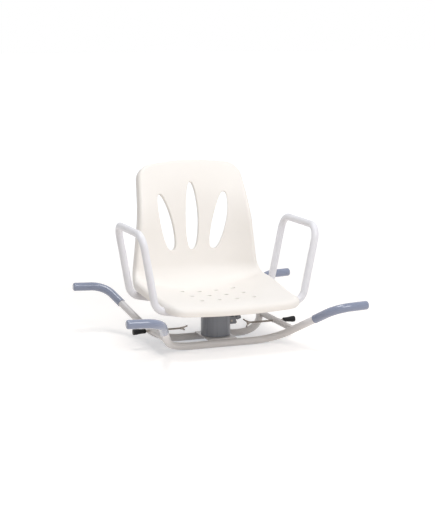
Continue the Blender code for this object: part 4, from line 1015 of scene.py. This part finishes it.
def smooth(value):
    """A step from 0 to 1 with soft ends."""
    value = min(max(value, 0.0), 1.0)
    return value * value * (3 - 2 * value)


def straight_between(distance, keys):
    """A value read from (distance, value) keys by straight lines."""
    for (start, low), (end, high) in zip(keys, keys[1:]):
        if distance <= end:
            return low + (high - low) * max(distance - start, 0) / (end - start)
    return keys[-1][1]


def outer_half(distance):
    """Half the shell's outer width at a distance along the middle line."""
    keys = [(LIP_LENGTH, FRONT_HALF), (AXIS_DISTANCE, SEAT_HALF), (CREASE_START, SEAT_HALF),
            (CREASE_END, HIP_HALF), (MIDDLE_LENGTH, TOP_HALF)]
    nearby = (distance - LIP_LENGTH, distance, distance + LIP_LENGTH)
    return sum(straight_between(place, keys) for place in nearby) / len(nearby)


def wrap(distance):
    """How far the shell's sides stand in front of its middle."""
    rise = smooth(distance / CREASE_END)
    fall = smooth((distance - LOW_BACK_END) / (MIDDLE_LENGTH - LOW_BACK_END))
    forward = WRAP_FRONT + (WRAP_HIP - WRAP_FRONT) * rise
    return forward + (WRAP_TOP - forward) * fall


def edge_tilt(distance):
    """The slope of the surface at its side edge, as an angle."""
    return math.atan(wrap(distance) * WRAP_POWER / (outer_half(distance) - WRAP_INSET))


def rim_radius(distance):
    """The outer radius of the rim's bend, wide in front and tight round the back."""
    return FRONT_RIM_R + (BACK_RIM_R - FRONT_RIM_R) * smooth(distance / CREASE_START)


def panel_half(distance):
    """Half the panel's width inside the rim's bend, with its round corners."""
    half = outer_half(distance) - rim_radius(distance) * (1 + math.sin(edge_tilt(distance)))
    for from_end, corner_r in ((distance, FRONT_CORNER_R),
                               (MIDDLE_LENGTH - distance, TOP_CORNER_R)):
        inside = max(corner_r - from_end, 0)
        half -= corner_r - math.sqrt(corner_r ** 2 - inside ** 2)
    return half


FRONT_STRAIGHT = panel_half(0)
TOP_STRAIGHT = panel_half(MIDDLE_LENGTH)


def shell_rows():
    """Distances of the mesh rows along the middle line, closer together at the corners."""
    rows = [FRONT_CORNER_R * (1 - math.cos(QUARTER * step / CORNER_ROWS))
            for step in range(CORNER_ROWS + 1)]
    end = MIDDLE_LENGTH - TOP_CORNER_R
    start = rows[-1]
    count = round((end - start) / MESH_STEP)
    rows += [start + (end - start) * (step + 1) / count for step in range(count)]
    rows += [MIDDLE_LENGTH - TOP_CORNER_R * (1 - math.sin(QUARTER * (step + 1) / CORNER_ROWS))
             for step in range(CORNER_ROWS)]
    return rows


def eased(value):
    """A value that rises to 1 and no further, round a soft shoulder."""
    near = max(1 - abs(value - 1) / SHOULDER, 0)
    return min(value, 1) - near ** 2 * SHOULDER / 4


def bowed(distance, x):
    """A row's distance with the front edge bowed back and the top crowned at the sides."""
    share = distance / MIDDLE_LENGTH
    bow = FRONT_BOW * eased((x / FRONT_STRAIGHT) ** 2) * max(0, 1 - share / FRONT_BOW_SHARE)
    crown = TOP_CROWN * eased((x / TOP_STRAIGHT) ** 2) * max(0, 1 - (1 - share) / TOP_CROWN_SHARE)
    return distance + bow - crown


def shell_point(distance, x):
    """A point of the shell's front surface, with the directions along it and out of it."""
    y, z, heading = walk(distance)
    along = Vector((0, math.cos(heading), math.sin(heading)))
    normal = Vector((0, -math.sin(heading), math.cos(heading)))
    offset = wrap(distance) * abs(x / (outer_half(distance) - WRAP_INSET)) ** WRAP_POWER
    return Vector((x, y, z + LIFT)) + normal * offset, along, normal


def outward(distance, across, along):
    """The direction out of the panel at a vertex of its edge."""
    in_front = distance < MIDDLE_LENGTH / 2
    endward = -along if in_front else along
    if abs(across) < AT_SIDE_EDGE:
        return endward
    side = Vector((math.copysign(1, across), 0, 0))
    from_end = distance if in_front else MIDDLE_LENGTH - distance
    corner_r = FRONT_CORNER_R if in_front else TOP_CORNER_R
    turn = math.acos(max(1 - from_end / corner_r, 0))
    return endward * math.cos(turn) + side * math.sin(turn)


def rim_place(edge_frame, step):
    """Where an edge vertex goes at each step round the bend and down the skirt."""
    point, out, normal, tilt, distance = edge_frame
    radius = rim_radius(distance)
    centre = point - (normal * math.cos(tilt) - out * math.sin(tilt)) * radius
    if step <= RIM_BEND_STEPS:
        angle = -tilt + (QUARTER + tilt) * step / RIM_BEND_STEPS
        return centre + (normal * math.cos(angle) + out * math.sin(angle)) * radius
    front = smooth(1 - distance / FRONT_RIM_REACH)
    behind = smooth((distance - FRONT_RIM_REACH) / (CREASE_END - FRONT_RIM_REACH))
    depth = PAN_RIM_DEPTH + (FRONT_RIM_DEPTH - PAN_RIM_DEPTH) * front
    depth += (RIM_DEPTH - PAN_RIM_DEPTH) * behind - RIM_LIP_R
    down = (depth - radius) * (step - RIM_BEND_STEPS) / SKIRT_STEPS
    return centre + out * radius - normal * down


def grow_edge(shape, frames, place_at, steps):
    """Extrude an edge step by step to where each vertex's frame puts it; returns the last ones."""
    for step in range(1, steps + 1):
        border = [edge for edge in shape.edges
                  if edge.is_boundary and edge.verts[0] in frames and edge.verts[1] in frames]
        grown = bmesh.ops.extrude_edge_only(shape, edges=border)["geom"]
        moved = {}
        for vertex in verts_in(grown):
            sources = [link.other_vert(vertex) for link in vertex.link_edges]
            moved[vertex] = next(frames[source] for source in sources if source in frames)
        for vertex, edge_frame in moved.items():
            vertex.co = place_at(edge_frame, step)
        frames = moved
    return frames


def petal_half(share):
    """Half a petal's width at a share of its length."""
    power = math.log(0.5) / math.log(PETAL_WIDEST)
    return PETAL_HALF * max(0, math.sin(math.pi * share ** power)) ** PETAL_BLUNT


def petal_outlines():
    """A search tree of close points along the outlines of all the petals."""
    tree = KDTree(len(PETALS) * 2 * (PETAL_POINTS + 1))
    for foot, axis in PETALS:
        sideways = Vector((axis.y, -axis.x)).normalized()
        for index in range(PETAL_POINTS + 1):
            share = (1 - math.cos(math.pi * index / PETAL_POINTS)) / 2
            for sign in (1, -1):
                x, z = foot + axis * share + sideways * petal_half(share) * sign
                tree.insert((x, 0, z), index)
    tree.balance()
    return tree


OUTLINES = petal_outlines()


def in_petal(x, z):
    """Whether a place on the back lies inside a petal."""
    for foot, axis in PETALS:
        place = Vector((x, z)) - foot
        share = place.dot(axis) / axis.length_squared
        if 0 < share < 1 and abs(place.cross(axis)) / axis.length < petal_half(share):
            return True
    return False


def nearest_outline(point):
    """The distance to the nearest opening's outline, below 0 inside it, and the way inwards."""
    if point.z > DRAIN_TOP_Z:
        if point.y < BACK_FROM_Y:
            return 1.0, Vector((0, 0, 0))
        place = Vector((point.x, 0, point.z))
        near, _, distance = OUTLINES.find(place)
        if in_petal(point.x, point.z):
            return -distance, place - near
        return distance, near - place
    place = Vector((point.x, point.y, 0))
    centres = [Vector((x, y, 0)) for x in DRAIN_COLUMNS_X for y in DRAIN_ROWS_Y]
    centre = min(centres, key=lambda other: (other - place).length_squared)
    return (place - centre).length - DRAIN_R, centre - place


def opening_level(point):
    """How far a point of the shell is outside the nearest opening's lip; below 0 is inside."""
    lip_r = PETAL_LIP_R if point.z > DRAIN_TOP_Z else DRAIN_LIP_R
    return nearest_outline(point)[0] - lip_r


def panel_point(across, distance):
    """A point of the panel, with the directions along it and out of it."""
    x = across * panel_half(distance)
    return shell_point(bowed(distance, x), x)


def refine_near_openings(shape):
    """Cut the flat sheet finer where the openings' lips will be."""
    near = set()
    for face in shape.faces:
        middle = face.calc_center_median()
        if abs(opening_level(panel_point(middle.x, middle.y)[0])) < FINE_BAND:
            near.update(face.edges)
    bmesh.ops.subdivide_edges(shape, edges=list(near), cuts=FINE_CUTS, use_grid_fill=True)


def panel_with_rim():
    """The shell's open front surface with its turned rim, and the way down at the rim's edge."""
    rows = shell_rows()
    last = len(rows) - 1
    columns = round(2 * SEAT_HALF / MESH_STEP)
    shape = bmesh.new()
    bmesh.ops.create_grid(shape, x_segments=columns, y_segments=last, size=1)
    for vertex in shape.verts:
        vertex.co.y = rows[round((vertex.co.y + 1) / 2 * last)]
    refine_near_openings(shape)
    edge = {}
    for vertex in shape.verts:
        across = vertex.co.x
        distance = min(max(vertex.co.y, 0), MIDDLE_LENGTH)
        point, along, normal = panel_point(across, distance)
        if vertex.is_boundary:
            place = bowed(distance, point.x)
            out = outward(distance, across, along)
            share = abs(point.x) / (outer_half(place) - WRAP_INSET)
            slope = math.tan(edge_tilt(place)) * share ** (WRAP_POWER - 1)
            edge[vertex] = (point, out, normal, math.atan(slope * abs(out.x)), place)
        vertex.co = point
    skirt = grow_edge(shape, edge, rim_place, RIM_BEND_STEPS + SKIRT_STEPS)
    return shape, {vertex: -edge_frame[2] for vertex, edge_frame in skirt.items()}


def crossing(first, second):
    """The share of the way between two points at which the outline of an opening is met."""
    low, high = 0.0, 1.0
    inside_first = opening_level(first) < 0
    for _ in range(HALVINGS):
        middle = (low + high) / 2
        if (opening_level(first.lerp(second, middle)) < 0) == inside_first:
            low = middle
        else:
            high = middle
    return (low + high) / 2


def open_holes(shape):
    """Move the vertices nearest each opening's outline onto it and take out what is inside."""
    level = {vertex: opening_level(vertex.co) for vertex in shape.verts}
    for edge in shape.edges[:]:
        first, second = edge.verts
        if level[first] * level[second] >= 0:
            continue
        share = crossing(first.co, second.co)
        nearer = first if share < 0.5 else second
        nearer.co = first.co.lerp(second.co, share)
        level[nearer] = 0.0
    for face in shape.faces[:]:
        values = [level[vertex] for vertex in face.verts]
        if min(values) < 0 < max(values):
            first, second = [vertex for vertex in face.verts if level[vertex] == 0]
            bmesh.utils.face_split(face, first, second)
    inside = []
    for face in shape.faces:
        values = [level[vertex] for vertex in face.verts]
        on_outline = max(values) == 0 and min(values) == 0
        if min(values) < 0 or on_outline and opening_level(face.calc_center_median()) < 0:
            inside.append(face)
    bmesh.ops.delete(shape, geom=inside, context="FACES")
    fine_step = MESH_STEP / (FINE_CUTS + 1)
    near = [vertex for vertex in shape.verts
            if not vertex.is_boundary and 0 < level[vertex] < 2 * fine_step]
    for _ in range(SMOOTHINGS):
        bmesh.ops.smooth_vert(shape, verts=near, factor=0.5, use_axis_x=True, use_axis_y=True,
                              use_axis_z=True)


def lip_frames(shape, skirt):
    """For each edge vertex of the sheet: its place, the way past the edge, the way out, a profile.

    A profile is a row of (way past the edge, depth) pairs from the wall's front to its back.
    """
    rim = rim_profile()
    petal = flange_profile(PETAL_LIP_R, PETAL_FLANGE)
    drain = flange_profile(DRAIN_LIP_R, DRAIN_FLANGE)
    frames = {}
    for vertex in shape.verts:
        if not vertex.is_boundary:
            continue
        out = vertex.normal.copy()
        if vertex in skirt:
            onward, profile = skirt[vertex], rim
        elif vertex.co.z > DRAIN_TOP_Z:
            # The way inwards is seen from the front, so it is laid on the leaning back
            onward, profile = nearest_outline(vertex.co)[1], petal
            onward.y = -(out.x * onward.x + out.z * onward.z) / out.y
        else:
            onward, profile = nearest_outline(vertex.co)[1], drain
        onward = (onward - out * onward.dot(out)).normalized()
        frames[vertex] = (vertex.co.copy(), onward, out, profile)
    return frames


def rim_profile():
    """The rounding of the rim's free edge, front and back."""
    front = arc(RIM_LIP_R, -QUARTER, 0, LIP_STEPS, (0, RIM_LIP_R))[1:]
    back = arc(RIM_LIP_R, 0, QUARTER, LIP_STEPS, (0, SHELL_WALL - RIM_LIP_R))
    return front + back


def flange_profile(radius, depth):
    """The rounded lip of an opening and the flange behind it, which ends at the wall's back."""
    lip = arc(radius, -QUARTER, 0, LIP_STEPS, (0, radius))[1:]
    end = depth - FLANGE_EDGE_R
    inner = arc(FLANGE_EDGE_R, 0, QUARTER, FLANGE_STEPS, (radius - FLANGE_EDGE_R, end))
    outer = arc(FLANGE_EDGE_R, QUARTER, math.pi, FLANGE_STEPS, (FLANGE_EDGE_R, end))
    return lip + inner + outer + [(0, SHELL_WALL)]


def lip_place(lip_frame, step):
    """Where an edge vertex goes at each step of its profile."""
    point, onward, out, profile = lip_frame
    beyond, depth = profile[step - 1]
    return point + onward * beyond - out * depth


def give_wall(shape, skirt):
    """Put a second sheet behind the first and join the two by round lips."""
    bmesh.ops.recalc_face_normals(shape, faces=shape.faces)
    pan = [face for face in shape.faces if face.calc_center_median().xy.length < HOUSING_R]
    if pan[0].normal.z < 0:
        bmesh.ops.reverse_faces(shape, faces=shape.faces)
    shape.normal_update()
    frames = lip_frames(shape, skirt)
    openings = {vertex: row for vertex, row in frames.items() if vertex not in skirt}
    rim = {vertex: row for vertex, row in frames.items() if vertex in skirt}
    sheet = shape.verts[:] + shape.edges[:] + shape.faces[:]
    behind = bmesh.ops.duplicate(shape, geom=sheet)["geom"]
    for vertex in verts_in(behind):
        vertex.co -= vertex.normal * SHELL_WALL
    for frames in (openings, rim):
        grow_edge(shape, frames, lip_place, len(next(iter(frames.values()))[3]))


def make_seat_shell():
    """The moulded shell with its rim, petals and drain holes."""
    shape, skirt = panel_with_rim()
    open_holes(shape)
    give_wall(shape, skirt)
    stand_in("seat_shell", "moulded", shape, "seat", "white_seat_plastic", SHARP_MOULDED)


def make_bosses():
    """The bosses under the pan that the bolts go into."""
    shape = bmesh.new()
    plate_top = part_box("swivel_plate")[1].z + CLEARANCE
    feet = []
    for end, sign_y, side, sign_x in CORNERS:
        feet.append((sign_x * PLATE_BOLT_X, sign_y * PLATE_BOLT_Y, plate_top))
        for x in ARM_BOLTS_X.values():
            feet.append((sign_x * x, ARM_LEGS[end][0], ARM_LEGS[end][2]))
    for x, y, low in feet:
        distance = AXIS_DISTANCE + y / math.cos(PAN_SLOPE)
        high = shell_point(distance, x)[0].z - SHELL_WALL / 2
        fillet = [(BOSS_R + more, high - SHELL_WALL / 2 + rise) for more, rise in BOSS_FILLET]
        turned([(0, high), (fillet[0][0], high), *fillet, (BOSS_R, low + BOSS_FOOT_R),
                (BOSS_R - BOSS_FOOT_R, low), (0, low)], Matrix.Translation((x, y, 0)), shape=shape)
    add_piece("seat_bosses_moulded", shape, "seat", "white_seat_plastic", sharp=SHARP_MOULDED)


def refinish_kept_nodes():
    """Give the nodes that keep their shape the finish of their own slot."""
    for entry in frame["record"]["subparts"]:
        node = frame["nodes"][entry["node"]]
        if not node.hide_render:
            node.data.materials.clear()
            node.data.materials.append(FINISHES[entry["material_slot"]].material)


# Stage


def seen_rays(tree):
    """1 for rays that show a surface to the eye, 0 for those that carry its light elsewhere."""
    path = add_node(tree, "LightPath", {}, {}).outputs
    seen = path["Is Camera Ray"]
    for ray in ("Is Glossy Ray", "Is Transmission Ray"):
        either = add_node(tree, "Math", {"operation": "MAXIMUM"}, {0: seen, 1: path[ray]})
        seen = either.outputs[0]
    return seen


def make_floor():
    """A pale, slightly warm floor that gives a little light and glows cool white far off."""
    shape = bmesh.new()
    bmesh.ops.create_grid(shape, x_segments=1, y_segments=1, size=FLOOR_SIZE)
    bmesh.ops.translate(shape, vec=(0, 0, CAD_BOX[0].z - FLOOR_GAP), verts=shape.verts)
    floor = add_object("floor", as_mesh(shape, "floor"))
    finish = Finish("pale_floor", {
        "Base Color": linear("F4ECE4"), "Roughness": 0.9, "Specular IOR Level": 0.1,
        "Emission Color": linear("ECF5FF")})
    # The eye sees the chair's shadow on the floor near it and plain white far off
    far = add_node(finish.tree, "VectorMath", {"operation": "LENGTH"}, {0: finish.place})
    glow = add_node(finish.tree, "MapRange", {
        "From Min": GLOW_FROM, "From Max": GLOW_TO, "To Min": GLOW_NEAR, "To Max": GLOW_FAR},
        {"Value": far.outputs["Value"]})
    lift = add_node(finish.tree, "MapRange", {"To Min": FLOOR_LIGHT},
                    {"Value": seen_rays(finish.tree), "To Max": glow.outputs["Result"]})
    finish.feed("Emission Strength", lift.outputs["Result"])
    floor.data.materials.append(finish.material)


def make_surround():
    """A surround that is white to the eye and lights the chair more from its right."""
    world = bpy.data.worlds.new("surround")
    bpy.context.scene.world = world
    world.use_nodes = True
    tree = world.node_tree
    back = tree.nodes["Background"]
    back.inputs["Color"].default_value = (1, 1, 1, 1)
    way = add_node(tree, "TexCoord", {}, {}).outputs["Generated"]
    parts = add_node(tree, "SeparateXYZ", {}, {"Vector": way})
    dome = add_node(tree, "MapRange", {
        "From Min": -1.0, "From Max": 1.0, "To Min": DOME_LEFT, "To Max": DOME_RIGHT},
        {"Value": parts.outputs["X"]})
    strength = add_node(tree, "MapRange", {"To Max": 1.0},
                        {"Value": seen_rays(tree), "To Min": dome.outputs["Result"]})
    tree.links.new(strength.outputs["Result"], back.inputs["Strength"])


def add_lamp(name, location, width, height, watts):
    """A soft box that faces the middle of the chair."""
    data = bpy.data.lights.new(name, "AREA")
    data.shape = "RECTANGLE"
    data.size = width
    data.size_y = height
    data.energy = watts
    lamp = add_object(name, data)
    lamp.location = location
    aim = Vector((0, 0, AIM_HEIGHT)) - Vector(location)
    lamp.rotation_euler = aim.to_track_quat("-Z", "Y").to_euler()


def make_camera():
    """The camera at the photograph's angle, with its lens."""
    azimuth, elevation = CAMERA_AZIMUTH, CAMERA_ELEVATION
    back = Vector((math.sin(azimuth) * math.cos(elevation),
                   -math.cos(azimuth) * math.cos(elevation), math.sin(elevation)))
    right = Vector((math.cos(azimuth), math.sin(azimuth), 0))
    data = bpy.data.cameras.new("camera")
    data.sensor_fit = "VERTICAL"
    data.sensor_height = SENSOR_MM
    data.lens = FOCAL_PX * SENSOR_MM / PHOTO_HEIGHT_PX
    camera = add_object("camera", data)
    camera.location = right * AIM_RIGHT + Vector((0, 0, AIM_HEIGHT)) + back * CAMERA_DISTANCE
    camera.rotation_euler = (-back).to_track_quat("-Z", "Y").to_euler()
    bpy.context.scene.camera = camera


def main():
    """Build every piece, the stage, the lamps and the camera."""
    for end, sign_y in ENDS:
        make_frame_tube(end, sign_y)
        for side, sign_x in SIDES:
            make_sleeve(side, sign_x, end, sign_y)
    for side, sign_x in SIDES:
        make_brace(side, sign_x)
        make_clamp(side, sign_x)
        make_arm(side, sign_x)
    make_plate("base_plate", "coated", "frame", "white_powder_coat", BASE_PLATE_CORNER_R,
               COATED_EDGE)
    make_column()
    make_plate("swivel_plate", "steel", "seat", "plain_steel", SWIVEL_PLATE_CORNER_R, STEEL_EDGE)
    make_bracket()
    make_lever()
    make_bolts()
    make_seat_shell()
    make_bosses()
    refinish_kept_nodes()
    make_floor()
    make_surround()
    for name, lamp in LAMPS.items():
        add_lamp(name, *lamp)
    make_camera()
    bpy.context.scene.view_settings.view_transform = "Standard"


main()
